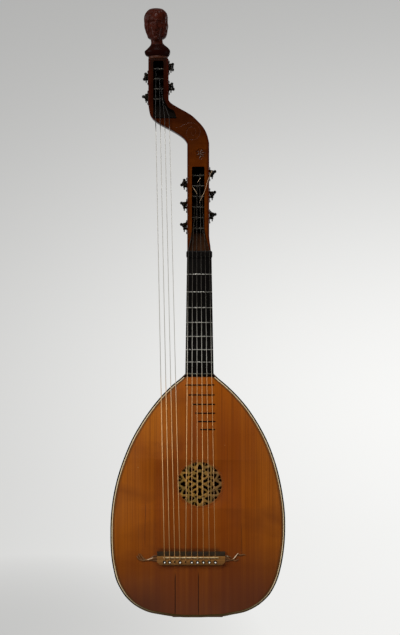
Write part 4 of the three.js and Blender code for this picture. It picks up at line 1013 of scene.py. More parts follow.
class LUTE_OT_edge(bpy.types.Operator):
    """Make the dark, pale and thin dark lines let into the edge of the soundboard"""
    bl_idname = "lute.edge"
    bl_label = "Edge Lines"

    def execute(self, context):
        body = context.scene.lute_body
        first, second = body.edge_dark, body.edge_dark + body.edge_pale
        dark = look_of(
            "edge_dark", dense_wood, paint(14, 11, 10), paint(8, 7, 6), paint(34, 25, 20), (60, 60, 60),
            0.35, gloss=0.03, dirt=(0.045, 0.008, paint(74, 56, 36), paint(58, 44, 27)))
        inner = look_of(
            "edge_inner", dense_wood, paint(66, 42, 12), paint(44, 28, 8), paint(84, 54, 18),
            (60, 60, 60), 0.35, gloss=0.08)
        pale = look_of(
            "edge_pale", dense_wood, paint(204, 182, 146), paint(174, 152, 116), paint(138, 110, 74),
            (160, 160, 40), 0.4, 0.0, 0.5, 0.12, (0.07, 0.006, paint(66, 54, 24), paint(46, 36, 16)))
        for name, start, end, look, rounding in (
            ("edge_line_outer", 0, first, dark, body.edge_rounding),
            ("edge_line_pale", first + 0.02, second, pale, 0.06),
            ("edge_line_inner", second + 0.02, 5.4, inner, 0.06),
        ):
            set_in_place(
                name, strip(rim(start), rim(end), 0, BOARD_THICKNESS, rounding), [look],
                ["edge_binding"])
        return {"FINISHED"}


class LUTE_OT_rose(bpy.types.Operator):
    """Cut the rose: rings of small openings round a six-pointed middle"""
    bl_idname = "lute.rose"
    bl_label = "Rose"

    def execute(self, context):
        def scaled(corners, steps=4):
            """A round-cornered opening, drawn in pixels out and across."""
            return rounded([(out * PIXEL, across * PIXEL) for out, across in corners], steps)

        spot = [(math.cos(a), math.sin(a)) for a in full_turn(16)]
        slit = [(-3.8, 1.0), (-2.4, 1.6), (-0.2, 1.35), (1.6, 1.75), (3.4, 1.9)]
        slit = scaled(both_sides(slit, (4.1, 0)), 3)
        heart = scaled([(-2.0, 0), (-0.4, 1.55), (1.7, 1.6), (1.3, 0), (1.7, -1.6), (-0.4, -1.55)])
        slot = scaled([(-0.9, 0), (-0.35, 1.2), (0.75, 1.5), (0.75, -1.5), (-0.35, -1.2)])
        drop = scaled(both_sides([(-2.3, 1.65), (-1.2, 2.75), (0.65, 1.95), (2.75, 0.55)]) + [(-1.8, 0)], 3)
        side = [(-2.4, 0.35), (-0.4, 0.38), (1.0, 0.4), (0.9, 3.5), (-0.2, 3.1)]
        holes = ring_of_holes(1, 0, [(4.3 * a, 4.3 * b) for a, b in spot])
        holes += ring_of_holes(6, 7.8 * PIXEL, slit, 0.5)
        holes += ring_of_holes(6, 9.3 * PIXEL, heart, 0)
        holes += ring_of_holes(12, 13.1 * PIXEL, slot, 0.5)
        holes += ring_of_holes(12, 16.6 * PIXEL, drop, 0)
        holes += ring_of_holes(12, 20.8 * PIXEL, scaled(side, 3), 0.5)
        holes += ring_of_holes(12, 20.8 * PIXEL, scaled([(a, -b) for a, b in side[::-1]], 3), 0.5)
        edge = context.scene.lute_body.rose_edge
        circle = np.array([(math.cos(t), math.sin(t)) for t in full_turn(144)])
        rings = [
            [(ROSE[0] + r * a, y, ROSE[1] + r * b) for a, b in circle]
            for r, y in ((ROSE_RADIUS - 0.25, 0.02), (ROSE_RADIUS - 0.05, 0.2), (ROSE_RADIUS - 0.05, 2.2))]
        prisms = []
        for hole in holes:
            line = np.array(hole)
            middle = line.mean(axis=0)
            size = np.hypot(*(line - middle).T).mean()
            layers = [[(x, y, z) for x, z in middle + (line - middle) * (1 + out * edge / size)]
                      for y, out in ((-1, 1), (0.02, 1), (0.1, 0.6), (0.25, 0.25), (0.5, 0), (4, 0))]
            prisms.append(loft(layers))
        disc = carve("rose_cut", as_mesh("rose_cut", loft(rings)), [as_mesh("holes", together(prisms))])
        set_in_place("rose_cut", disc, [look_of("rose_wood", rose_wood)], ["rose"], 40)
        return {"FINISHED"}


class LUTE_OT_bowl(bpy.types.Operator):
    """Bend the ribs of the bowl"""
    bl_idname = "lute.bowl"
    bl_label = "Bowl"

    def execute(self, context):
        swell = context.scene.lute_body.rib_swell
        line = body_line()
        turn = int(np.argmin(line[:, 1]))
        heights = line[: turn + 1][::-1][:, 1]
        foot = BODY_LENGTH * OUTLINE_SHARES[0][0]
        heights = [foot] + [z for z in heights if foot + 0.2 < z <= BODY_LENGTH]
        front = BOARD_THICKNESS + 0.08
        look = bowl_look()
        for index in range(RIB_COUNT):
            outer, inner = [], []
            for z in heights:
                left, right = half_widths(z)
                half, middle = (left + right) / 2, (right - left) / 2
                depth = half * BOWL_SHARE - RIM_PLANE

                def at(angle, inwards):
                    deep = depth + RIM_PLANE - front - inwards
                    return np.array(
                        (middle + (half - inwards) * math.cos(angle), front + deep * math.sin(angle), z))

                gap = math.asin(min(0.5, 0.03 / half))
                a = math.pi * index / RIB_COUNT + (gap if index else 0)
                b = math.pi * (index + 1) / RIB_COUNT - (gap if index < RIB_COUNT - 1 else 0)
                for grid, inwards in ((outer, 0), (inner, RIB_THICKNESS)):
                    row = []
                    for t in np.linspace(0, 1, 9):
                        flat = at(a, inwards) * (1 - t) + at(b, inwards) * t
                        row.append(flat * (1 - swell) + at(a + (b - a) * t, inwards) * swell)
                    grid.append(row)
            name = f"bowl_rib_{index + 1}"
            set_in_place(name, sheet(outer, inner), [look], [f"rib_{index + 1}"], 50)
        return {"FINISHED"}


class LUTE_OT_tail(bpy.types.Operator):
    """Make the cap over the tail ends of the ribs, and finish the block and the bars inside"""
    bl_idname = "lute.tail"
    bl_label = "Tail Cap, Block and Bars"

    def execute(self, context):
        left = OUTLINE_SHARES[0][1] * BODY_HALF_WIDTH
        right = OUTLINE_SHARES[0][2] * BODY_HALF_WIDTH
        depth = (left + right) / 2 * BOWL_SHARE
        rings = []
        for z, inwards in (
                (0, 2.9), (0.15, 2.4), (0.6, 1.75), (1.2, 1.25), (1.9, 0.95), (3.2, 0.9), (4.6, 0.9)):
            half, middle = (left + right) / 2 - inwards, (right - left) / 2
            rings.append(half_round(z, middle, half, RIM_PLANE, depth - RIM_PLANE - inwards, 49))
        set_in_place("tail_clasp", loft(rings), [maple_look()], ["tail_cap"])
        for name in ("tail_block", "soundboard_bars"):
            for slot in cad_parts[name].material_slots:
                slot.material = inner_spruce_look()
        return {"FINISHED"}


class LUTE_OT_neck(bpy.types.Operator):
    """Shape the neck, its fingerboard with wire frets, and the nut"""
    bl_idname = "lute.neck"
    bl_label = "Neck, Fingerboard and Nut"

    def execute(self, context):
        neck = context.scene.lute_neck
        joint_depth = sum(NECK_JOINT) / 2 * BOWL_SHARE
        inset = RIB_THICKNESS + 1
        rings = []
        for z, share, block in (
                (456, 0, True), (500.28, 0, True),
                *((z, (z - BODY_LENGTH) / NECK_LENGTH, False) for z in np.linspace(500.3, NECK_TOP, 22))):
            left, right = (half - (inset if block else 0) for half in neck_sides(share))
            depth = joint_depth + (NECK_TOP_DEPTH - joint_depth) * share - (inset if block else 0)
            front = RIM_PLANE if block else FINGERBOARD_THICKNESS + 0.05
            half, middle = (left + right) / 2, (right - left) / 2
            rings.append(half_round(z, middle, half, front, depth - front, 41, 0.92))
        set_in_place("neck_stem", loft(rings), [maple_look()], ["neck"])

        boards = []
        for foot, back in ((BOARD_FOOT, BOARD_THICKNESS), (500.4, FINGERBOARD_THICKNESS)):
            low, high = neck_at(foot), neck_at(NUT_FOOT - 0.1)
            corners = [(-low[0], foot), (low[1], foot), (high[1], NUT_FOOT - 0.1), (-high[0], NUT_FOOT - 0.1)]
            boards.append(plate("board", corners, 0 if back < 3 else 0.01, back, 0.35, (), 2))
        set_in_place("fingerboard_ebony", joined(*boards), [ebony_look()], ["fingerboard"])
        wires = []
        for number in range(1, 9):
            z = fret_place(number)
            left, right = neck_at(z)
            wires.append(bar_across(-left + 0.1, right - 0.1, z, neck.fret_width, neck.fret_height, 0, 10))
        wire = look_of("fret_wire", old_metal, paint(156, 153, 145), paint(108, 102, 92), 0.3, 0.4)
        # Painted shade: the eighth fret is coloured darker, as if it catches no light.
        dull = look_of("fret_wire_dull", old_metal, paint(92, 94, 84), paint(64, 62, 52), 0.3, 0.4)
        wires = set_in_place("fret_wires", together(wires), [wire, dull])
        last = (fret_place(7) + fret_place(8)) / 2
        paint_faces(wires.data, lambda x, y, z, normal: 1 if z < last else 0)

        low, high = neck_at(NUT_FOOT), neck_at(NECK_TOP)
        wide = [half + NUT_OVERHANG for half in low]
        corners = [
            (-low[0] - 0.2, NUT_FOOT + 0.1), (0, NUT_FOOT + 0.05), (low[1] + 0.2, NUT_FOOT + 0.1),
            (wide[1], NUT_FOOT + 4), (wide[1], NECK_TOP - 4), (high[1], NECK_TOP - 0.1),
            (0, NECK_TOP - 0.05), (-high[0], NECK_TOP - 0.1), (-wide[0], NECK_TOP - 4),
            (-wide[0], NUT_FOOT + 4)]
        line = np.clip(np.array(rounded(corners, 5)), (-wide[0], NUT_FOOT), (wide[1], NECK_TOP))
        middle = (line.min(axis=0) + line.max(axis=0)) / 2
        half = line.max(axis=0) - middle
        quarter = [(1.5 * (1 - math.sin(a)), 1.5 * (1 - math.cos(a))) for a in np.linspace(0, math.pi / 2, 6)]
        steps = [(-2.2 + deep, inset) for inset, deep in quarter]
        steps += [(FINGERBOARD_THICKNESS - deep, inset) for inset, deep in quarter[::-1]]
        rings = [[(x, y, z) for x, z in middle + (line - middle) * (1 - inset / half)] for y, inset in steps]
        nut = as_mesh("nut_block", loft(rings))
        cutters = []
        for i, radius in enumerate(STRING_RADII):
            x = string_place(NUT_FRETTED, i)
            path = [(x, -2.5 - radius, z) for z in (NUT_FOOT - 2, NECK_TOP + 2)]
            cutters.append(as_mesh("slot", tube(path, radius + 0.45, 14)))
        nut = carve("nut_block", nut, cutters)
        set_in_place("nut_block", nut, [ebony_look()], ["nut"])
        return {"FINISHED"}


class LUTE_OT_bridge(bpy.types.Operator):
    """Make the bridge with its carved scrolls, the saddle and the pins"""
    bl_idname = "lute.bridge"
    bl_label = "Bridge, Saddle and Pins"

    def execute(self, context):
        low, high = BRIDGE_Z
        section = [
            (-0.05, low), (-1.6, low), (-2.6, low + 0.15), (-5.6, low + 1.7), (-6.5, low + 2.5),
            (-7, low + 4), (-7, high - 8.7), (-6.85, high - 8.2), (-2.9, high - 0.7), (-2.4, high - 0.1),
            (-2.2, high), (-0.05, high)]
        rings = [[(x, y, z) for y, z in section] for x in (BRIDGE[0] - 2, -28, -16, BRIDGE[1] + 2)]
        corners = [
            (BRIDGE[0] + 8, low), (BRIDGE[1] - 8, low), (BRIDGE[1], low + 8), (BRIDGE[1], high),
            (BRIDGE[0], high), (BRIDGE[0], low + 8)]
        blank = plate("bridge_outline", corners, -9, 2, 0.9, (), 3)
        body = carve("bridge_block", as_mesh("bridge_block", loft(rings)), [blank], "INTERSECT")
        slot = as_mesh(
            "slot",
            box((SADDLE[0] - 0.12, -9, SADDLE_Z - 1.26), (SADDLE[1] + 0.12, -3.5, SADDLE_Z + 1.26)))
        places = [string_place(SADDLE_BASSES, i) for i in range(len(BASS_RADII))]
        places += [string_place(SADDLE_FRETTED, i) for i in range(len(STRING_RADII))]
        seats = [as_mesh("seat", lathe([(-9, 3.25), (-5.8, 3.25)], 28, (x, 0, PIN_Z), 1)) for x in places]
        body = carve("bridge_block", body, [slot, *seats])
        # Painted shade: the bridge's slope that faces the neck is coloured dark, as if no light reaches it.
        dark = look_of(
            "bridge_dark", dense_wood, paint(40, 28, 14), paint(22, 16, 9), paint(66, 50, 24),
            (200, 60, 300), 0.45, gloss=0.05)
        piece = set_in_place("bridge_block", body, [walnut_look(), dark], ["bridge"], 28)
        paint_faces(piece.data, lambda x, y, z, normal: 1 if z > SADDLE_Z + 2.2 and normal.z > 0.25 else 0)

        dark_arm = look_of(
            "bridge_scroll", dense_wood, paint(102, 64, 30), paint(74, 44, 18), paint(136, 98, 54),
            (60, 60, 60), 0.28, gloss=0.3)
        # Pale thin strips along the scroll arms are painted highlights.
        scrolls, highlight_ridges = [], []
        for side, start in ((-1, BRIDGE[0]), (1, BRIDGE[1])):
            def run(points, widths, rise):
                path = smooth_line([(start + side * a, -0.2 - rise * 0.4, low + b) for a, b in points], 8)
                wide = np.interp(np.linspace(0, 1, len(path)), np.linspace(0, 1, len(widths)), widths)
                shape, faces = tube(path, wide, 12)
                flat = -0.2 + (shape[:, 1] + 0.2 + rise * 0.4) * 0.55 - rise * 0.4
                shape[:, 1] = np.clip(flat, -2.35, -0.2)
                return shape, faces

            scrolls += [
                run([(-2, 19), (4, 19.6), (9, 18), (13, 15.4)], (1.8, 1.6, 1.1, 0.4), 2.0),
                run([(-2, 9.5), (5, 9.8), (11, 10.4), (17, 11.4)], (1.8, 1.5, 1.0, 0.4), 2.0),
            ]
            if side < 0:
                scrolls += [
                    run(
                        [(-2, 14.6), (6, 14.2), (15, 12), (22, 11.2), (28, 14), (32, 19.5), (34.5, 24.5)],
                        (3.8, 3.0, 2.0, 1.6, 1.5, 1.1, 0.4), 2.0),
                    run(
                        [(20, 11.4), (26, 10.2), (32, 10.6), (37, 13), (40.6, 17.4), (41.2, 21)],
                        (0.6, 1.3, 1.6, 1.5, 1.1, 0.4), 2.1),
                    run([(31.5, 12.6), (35, 16.4), (37, 20.5), (38, 24.6)], (0.5, 1.4, 1.4, 0.4), 1.9)]
                highlight_ridges.append(
                    run([(2.5, 16), (9, 15), (15, 13.2), (21.5, 11.4)], (0.35, 0.95, 0.85, 0.3), 3.6))
            else:
                scrolls += [
                    run(
                        [(-2, 14.6), (5, 14), (12, 11.6), (17, 12.6), (22, 18.4), (26, 24.4)],
                        (3.8, 3.0, 1.8, 1.5, 1.4, 0.4), 2.0),
                    run(
                        [(25, 25), (28, 22), (33, 21), (38, 22.6), (42.4, 20.6)],
                        (0.5, 1.4, 1.5, 1.2, 0.4), 2.0),
                    run([(15, 12), (19.5, 10), (24.5, 10.6), (28, 13.4)], (0.5, 1.3, 1.1, 0.4), 1.9)]
                highlight_ridges.append(
                    run([(16.6, 13.4), (20, 16.6), (24, 22), (27, 25.4)], (0.35, 0.9, 0.8, 0.3), 3.6))
                highlight_ridges.append(run([(1, 19.2), (4, 19.4), (7, 18)], (0.3, 0.8, 0.3), 3.4))
        # Painted highlights on the scroll arms.
        ridge = look_of(
            "scroll_ridge", dense_wood, paint(206, 178, 146), paint(170, 138, 104), paint(226, 200, 170),
            (60, 60, 60), 0.2, gloss=0.4)
        set_in_place("scroll_highlights", together(highlight_ridges), [ridge])
        set_in_place("bridge_scrolls", together(scrolls), [dark_arm])

        top = -BRIDGE_RISE - SADDLE_RISE
        section = [
            (-3.7, -1.18), (-7.6, -1.18), (top + 0.7, -1.1), (top + 0.18, -0.6), (top, 0),
            (top + 0.18, 0.6), (top + 0.7, 1.1), (-7.6, 1.18), (-3.7, 1.18)]
        rings = [
            [(x, y + pull, SADDLE_Z + z) for y, z in section]
            for x, pull in (
                (SADDLE[0], 0.4), (SADDLE[0] + 0.4, 0), (-16, 0), (SADDLE[1] - 0.4, 0), (SADDLE[1], 0.4))]
        bone = look_of("saddle_bone", old_bone, paint(190, 164, 118), paint(150, 118, 74))
        set_in_place("saddle_blade", loft(rings), [bone], ["saddle"])

        pins, plugs, pearls = [], [], []
        for number, x in enumerate(places):
            if number in (2, 4):
                profile = [
                    (-5.9, 2.8), (-6.9, 3.1), (-7.15, 3.0), (-7.3, 2.7), (-7.3, 2.0), (-7.1, 1.8),
                    (-6.2, 1.7)]
                plugs.append(lathe(profile, 28, (x, 0, PIN_Z), 1))
                pins.append(lathe([(-6.15, 1.75), (-6.9, 1.7)], 20, (x, 0, PIN_Z), 1))
                continue
            profile = [
                (-5.9, 2.6), (-7.0, 3.15), (-7.5, 3.2), (-8.6, 3.1), (-9.4, 2.55), (-9.85, 1.8),
                (-9.98, 1.25), (-9.98, 0.1)]
            pins.append(lathe(profile, 28, (x, 0, PIN_Z), 1))
            dot = [(-9.0, 1.55), (-9.95, 1.55), (-10, 1.3), (-10, 0.05)]
            pearls.append(lathe(dot, 24, (x + 0.3, 0, PIN_Z - 0.5), 1))
        horn = look_of(
            "pin_horn", dense_wood, paint(8, 7, 7), paint(5, 4, 4), paint(16, 12, 10), roughness=0.2,
            gloss=0.1)
        set_in_place("bridge_pins", together(pins), [horn])
        set_in_place("pin_plugs", together(plugs), [walnut_look()])
        set_in_place("pin_pearls", together(pearls), [pearl_look()])
        return {"FINISHED"}


# Pegboxes and tuners


def extension_outline():
    right = np.array([(20.9 - 83.6 * a, NECK_TOP + 221 + 90 * b) for a, b in RIGHT_BEND])
    left = np.array([(-24.2 - 79.9 * a, NECK_TOP + 221 + 80 * b) for a, b in LEFT_BEND])
    for line in (right, left):
        line[1:-1] = line[:-2] / 4 + line[1:-1] / 2 + line[2:] / 4
    right = [tuple(p) for p in smooth_line(right, 5)]
    left = [tuple(p) for p in smooth_line(left, 5)]
    foot = NECK_TOP + SEAM
    return [(-24.2, foot), (24.3, foot), (23.4, foot + 10), (21.8, foot + 21), (20.9, foot + 30), *right,
            (-62.7, EXTENSION_TOP), (-104.1, EXTENSION_TOP), *left[::-1]]


def posts():
    """Each tuner: its number, string, side, height, cheek, far wall, string's start and turn."""
    for tuners in (LOWER_BOX, UPPER_BOX):
        left_face, left_wall, right_wall, right_face = tuners["faces"]
        for i, ((string, share, way), turn) in enumerate(zip(tuners["windings"], tuners["turns"])):
            side = -1 if i % 2 == 0 else 1
            yield {
                "number": tuners["last"] - string, "string": string, "side": side, "way": way,
                "z": tuners["first"] + i * tuners["spacing"],
                "cheek": left_face if side < 0 else right_face, "far": right_wall if side < 0 else left_wall,
                "start": left_wall + share * (right_wall - left_wall), "turn": turn * 2 * math.pi,
                "out": tuners["out"], "bass": tuners is UPPER_BOX,
            }


def block_between(rows):
    """A cutter of level rings: height, left, right, front and back."""
    return loft([[(left, front, z), (right, front, z), (right, back, z), (left, back, z)]
                 for z, left, right, front, back in rows])


class LUTE_OT_pegboxes(bpy.types.Operator):
    """Cut the bent neck extension with its two pegboxes, and lay the nut strip for the bass strings"""
    bl_idname = "lute.pegboxes"
    bl_label = "Neck Extension"

    def execute(self, context):
        neck = context.scene.lute_neck
        blank = plate("extension", extension_outline(), 0, EXTENSION_DEPTH, neck.channel_edge, (), 4)
        foot, top = NECK_TOP + SEAM, NECK_TOP + 173
        lower_ramp = NECK_TOP + 46
        left, right = LOWER_BOX["faces"][1:3]
        bass_left, bass_right = UPPER_BOX["faces"][1:3]
        cutters = [
            block_between(
                [
                    (foot - 3, left, right, -3, 3.6), (foot, left, right, -3, 3.6),
                    (lower_ramp, left, right, -3, CHANNEL_DEPTH),
                    (top - 3, left, right, -3, CHANNEL_DEPTH), (top - 1, -14.1, 10.6, -3, 18.4),
                    (top, -12.6, 9.1, -3, 17)]),
            block_between(
                [
                    (
                        foot + 45 * t - (3 if t == 0 else 0), -14.8 - 7.4 * (1 - t) ** 1.2,
                        11.3 + 10.8 * (1 - t) ** 1.2, -3, 3.6 + 15.4 * t * 45 / (lower_ramp - foot))
                    for t in np.linspace(0, 1, 12)]),
            block_between(
                [
                    (BASS_NUT + 1.3, bass_left, bass_right, -3, 3.6),
                    (BASS_NUT + 29.3, bass_left, bass_right, -3, CHANNEL_DEPTH),
                    (EXTENSION_TOP - 7, bass_left, bass_right, -3, CHANNEL_DEPTH),
                    (EXTENSION_TOP - 5, -93.4, -73.4, -3, 18.4), (EXTENSION_TOP - 4, -92, -74.8, -3, 17)])]
        mouth = smooth_line([(1, 0), (0.82, 0.32), (0.42, 0.46), (0.2, 0.68), (0, 1)], 5)
        cutters.append(block_between([
            (BASS_NUT + 1.3 + 40 * up, -76, -72.7 + max(across, 0) * 26, -3, 3.6 + 7.4 * up)
            for across, up in mouth]))
        for post in posts():
            ends = sorted((post["cheek"] + post["side"] * 3, post["far"] - post["side"] * 4.3))
            cutters.append(lathe([(ends[0], 3.85), (ends[1], 3.85)], 40, (0, POST_DEPTH, post["z"]), 0))
        volute = smooth_line([(x, -0.35, z) for x, z in VOLUTE], 8)
        turns = np.linspace(0, 1, len(volute))
        cutters.append(tube(volute, np.interp(turns, [0, 0.2, 0.8, 1], [0.45, 0.95, 0.85, 0.45]), 10))
        ground = [
            (FLOWER[0] + 9.6 * math.sin(a) * (1 + 0.07 * math.cos(5 * a)), FLOWER[1] + 11.6 * math.cos(a))
            for a in full_turn(60)]
        cutters.append(loft([
            [(FLOWER[0] + (x - FLOWER[0]) * share, y, FLOWER[1] + (z - FLOWER[1]) * share) for x, z in ground]
            for y, share in ((-1, 1.04), (0.1, 1.0), (0.7, 0.94), (0.95, 0.84))]))
        # Cuts along a shared plane leave hair-fine gaps, which are closed.
        body = cleaned(carve("extension", blank, [as_mesh("cutter", shape) for shape in cutters]), JOIN, True)
        # Painted shade: the inside of both pegbox channels is near black, lighter on the shallow ramp at the
        # foot of the lower one.
        dark = look_of(
            "pegbox_inside", dense_wood, paint(10, 5, 2), paint(5, 3, 1), paint(18, 8, 3), (200, 200, 14),
            0.6, gloss=0.03, dirt=(0.806, 0.78, paint(44, 23, 8), paint(28, 14, 5)))
        grooves = look_of(
            "carved_grooves", dense_wood, paint(62, 25, 4), paint(46, 17, 3), paint(78, 36, 6),
            (300, 300, 300), 0.3, gloss=0.1)
        leaf = look_of(
            "carved_leaf", dense_wood, paint(64, 33, 12), paint(44, 20, 7), paint(96, 64, 36),
            (300, 300, 300), 0.24, gloss=0.3)
        piece = set_in_place(
            "pegbox_bend", body, [bend_look(), dark, grooves], ["neck_extension"], 32)

        petals = []
        for turn, length, wide in (
                (0.12, 9.0, 4.0), (1.0, 7.9, 3.6), (-0.85, 7.9, 3.6), (2.05, 7.4, 3.2), (-1.95, 7.2, 3.2),
                (3.1, 8.6, 3.4)):
            petals.append(self.petal(turn, length, wide))
        heart = [(0.3, 1.9), (-0.1, 1.8), (-0.5, 1.2), (-0.62, 0.5)]
        petals.append(lathe(heart, 20, (FLOWER[0], 0.35, FLOWER[1]), 1))
        set_in_place("carved_flower", together(petals), [leaf], crease=70)
        edge = np.array(extension_outline())

        def near_edge(x, z):
            return np.min(np.hypot(edge[:, 0] - x, edge[:, 1] - z)) < 3.2

        # Faces deep in the channels take the painted shade; the cut faces on the bend take the groove colour.
        def side(x, y, z, normal):
            deep = y > 0.4 and y < 19.6
            in_lower = -22.5 < x < 22.6 and foot < z < top + 0.5
            upper_wide = -94.3 < x < -72.5 or (x < -46 and z < BASS_NUT + 42)
            in_upper = upper_wide and BASS_NUT + 1 < z < EXTENSION_TOP - 3.5
            if deep and (in_lower and abs(x + 1.7) < 19 or in_upper and x > -94.4):
                return 1
            on_bend = -48 < x < 15 and 934 < z < 1019
            if 0.02 < y < 2 and normal.y > -0.96 and on_bend and not near_edge(x, z):
                return 2
            return 0

        paint_faces(piece.data, side)
        section = [(1.6, -1.25), (-1.2, -1.25), (-1.58, -0.6), (-1.58, 0.6), (-1.2, 1.25), (1.6, 1.25)]
        rings = [[(x, y, BASS_NUT + z) for y, z in section] for x in (-94, -90, -60, -46.8)]
        dull = look_of(
            "bass_nut", dense_wood, paint(7, 6, 5), paint(4, 3, 3), paint(12, 10, 8), roughness=0.5,
            gloss=0.02)
        set_in_place("bass_nut", loft(rings), [dull])
        return {"FINISHED"}

    def petal(self, turn, length, wide):
        """One leaf of the carved flower, raised towards its tip and curled."""
        rings = []
        for share in np.linspace(0.02, 1, 14):
            half = wide * math.sin(math.pi * min(share * 0.97 + 0.03, 0.995)) ** 0.7 / 2
            at = 1.2 + length * share
            angle = turn + 0.25 * share * share
            rise = 0.35 + 0.55 * math.sin(math.pi * share ** 1.4)
            ring = []
            for side, level in (
                    (-1, 0.9), (-1, 0.5), (-0.6, 0.5 - rise), (0, 0.28 - rise * 0.75), (0.6, 0.5 - rise),
                    (1, 0.5), (1, 0.9)):
                x = FLOWER[0] + at * math.sin(angle) + side * half * math.cos(angle)
                z = FLOWER[1] + at * math.cos(angle) - side * half * math.sin(angle)
                ring.append((x, level, z))
            rings.append(ring)
        return loft(rings)


def slab(outline, low, high, rounding, axis, side=1):
    """A convex plate across x or y, with rounded edges. The outline has the two other coordinates."""
    line = np.array(outline, float)
    ahead = np.roll(line, -1, axis=0) - np.roll(line, 1, axis=0)
    ahead /= np.linalg.norm(ahead, axis=1)[:, None]
    area = np.sum(line[:, 0] * np.roll(line[:, 1], -1) - np.roll(line[:, 0], -1) * line[:, 1])
    inward = np.column_stack((-ahead[:, 1], ahead[:, 0])) * (1 if area > 0 else -1)
    rings = []
    for level, depth in (
            (low, rounding), (low + rounding * 0.3, rounding * 0.3), (low + rounding, 0),
            (high - rounding, 0), (high - rounding * 0.3, rounding * 0.3), (high, rounding)):
        moved = line + inward * depth
        ring = np.zeros((len(line), 3))
        ring[:, axis] = level * side
        others = [k for k in range(3) if k != axis]
        ring[:, others[0]] = moved[:, 0]
        ring[:, others[1]] = moved[:, 1]
        rings.append(ring)
    return loft(rings)


def round_corners(low, high, radius, steps=5):
    """A rectangle with round corners."""
    line = []
    for (x, y), start in (((high[0] - radius, high[1] - radius), 0), ((low[0] + radius, high[1] - radius), 1),
                          ((low[0] + radius, low[1] + radius), 2), ((high[0] - radius, low[1] + radius), 3)):
        for k in range(steps + 1):
            angle = math.pi / 2 * (start + k / steps)
            line.append((x + radius * math.cos(angle), y + radius * math.sin(angle)))
    return line


def gear_shape(twist, width=2.3):
    """A worm wheel round the x axis, with leaning teeth."""
    lean = math.asin(1.2 / WORM_PITCH_RADIUS) / GEAR_TEETH
    root = SHAFT_SPACING - WORM_PITCH_RADIUS - TOOTH_HEIGHT - MESH_CLEARANCE
    tip = GEAR_PITCH_RADIUS + TOOTH_HEIGHT
    # Radius, and half the width of a tooth there.
    flank = [
        (root, 0.72), (root + 0.25, 0.62), (GEAR_PITCH_RADIUS, TOOTH_WIDTH / 2), (tip - 0.12, 0.33),
        (tip, 0.22)]
    rings = []
    for share in (-1, -0.92, -0.4, 0, 0.4, 0.92, 1):
        trim = 0.12 if abs(share) == 1 else 0
        ring = []
        for tooth in range(GEAR_TEETH):
            middle = 2 * math.pi * (tooth + 0.5) / GEAR_TEETH + twist + share * lean
            ring += [(radius, middle - half / radius) for radius, half in flank]
            ring += [(radius, middle + half / radius) for radius, half in flank[::-1]]
        rings.append(
            [(share * width / 2, -(r - trim) * math.sin(a), (r - trim) * math.cos(a)) for r, a in ring])
    return loft(rings)


def worm_shape(turn):
    """The thread of a worm round the y axis, with run-outs at both ends."""
    rings = []
    start, end = -1.0, 1.9
    count = 90
    for i in range(count + 1):
        turns = start + (end - start) * i / count
        rise = min(1.0, (turns - start) / 0.3, (end - turns) / 0.3)
        angle = 2 * math.pi * turns + turn
        ring = []
        for offset, radius in (
                (-0.62, 1.2), (-0.36, 2.6), (-0.24, 2.86), (0.24, 2.86), (0.36, 2.6), (0.62, 1.2)):
            radius = 1.2 + (radius - 1.2) * max(rise, 0.02)
            ring.append((-radius * math.sin(angle), THREAD * turns + offset, -radius * math.cos(angle)))
        rings.append(ring)
    return loft(rings)


def moved(shape, offset):
    points, faces = shape
    return points + np.array(offset, float), faces


def screw_shape(x, side, y, z, radius, height, turn):
    """A slotted screw head that stands on a face across x."""
    angles = full_turn(24)
    dome = [(0, radius), (height * 0.5, radius), (height * 0.8, radius * 0.85), (height, radius * 0.6)]
    rings = [[(x + side * out, y + r * math.cos(a), z + r * math.sin(a)) for a in angles] for out, r in dome]
    points, faces = loft(rings)
    across = np.array((0, -math.sin(turn), math.cos(turn)))
    away = np.abs((points - np.array((x, y, z))) @ across)
    top = np.abs(points[:, 0] - x) > height * 0.7
    points[top & (away < radius * 0.2), 0] -= side * height * 0.35
    return points, faces


def trefoil(turn, lobe, reach=9.65, waist=2.7, hub=5.4):
    """Outline of a button with three round lobes."""
    line = []
    for angle in full_turn(144):
        off = (angle + math.pi / 3) % (2 * math.pi / 3) - math.pi / 3
        middle = reach - lobe
        inside_root = lobe**2 - (middle * math.sin(off)) ** 2
        radius = middle * math.cos(off) + math.sqrt(inside_root) if inside_root > 0 else 0
        neck = min(waist / max(abs(math.sin(off)), 0.01), middle)
        radius = (radius**12 + neck**12 + hub**12) ** (1 / 12)
        line.append(
            (min(radius, reach) * math.sin(angle + turn), min(radius, reach) * math.cos(angle + turn)))
    return line


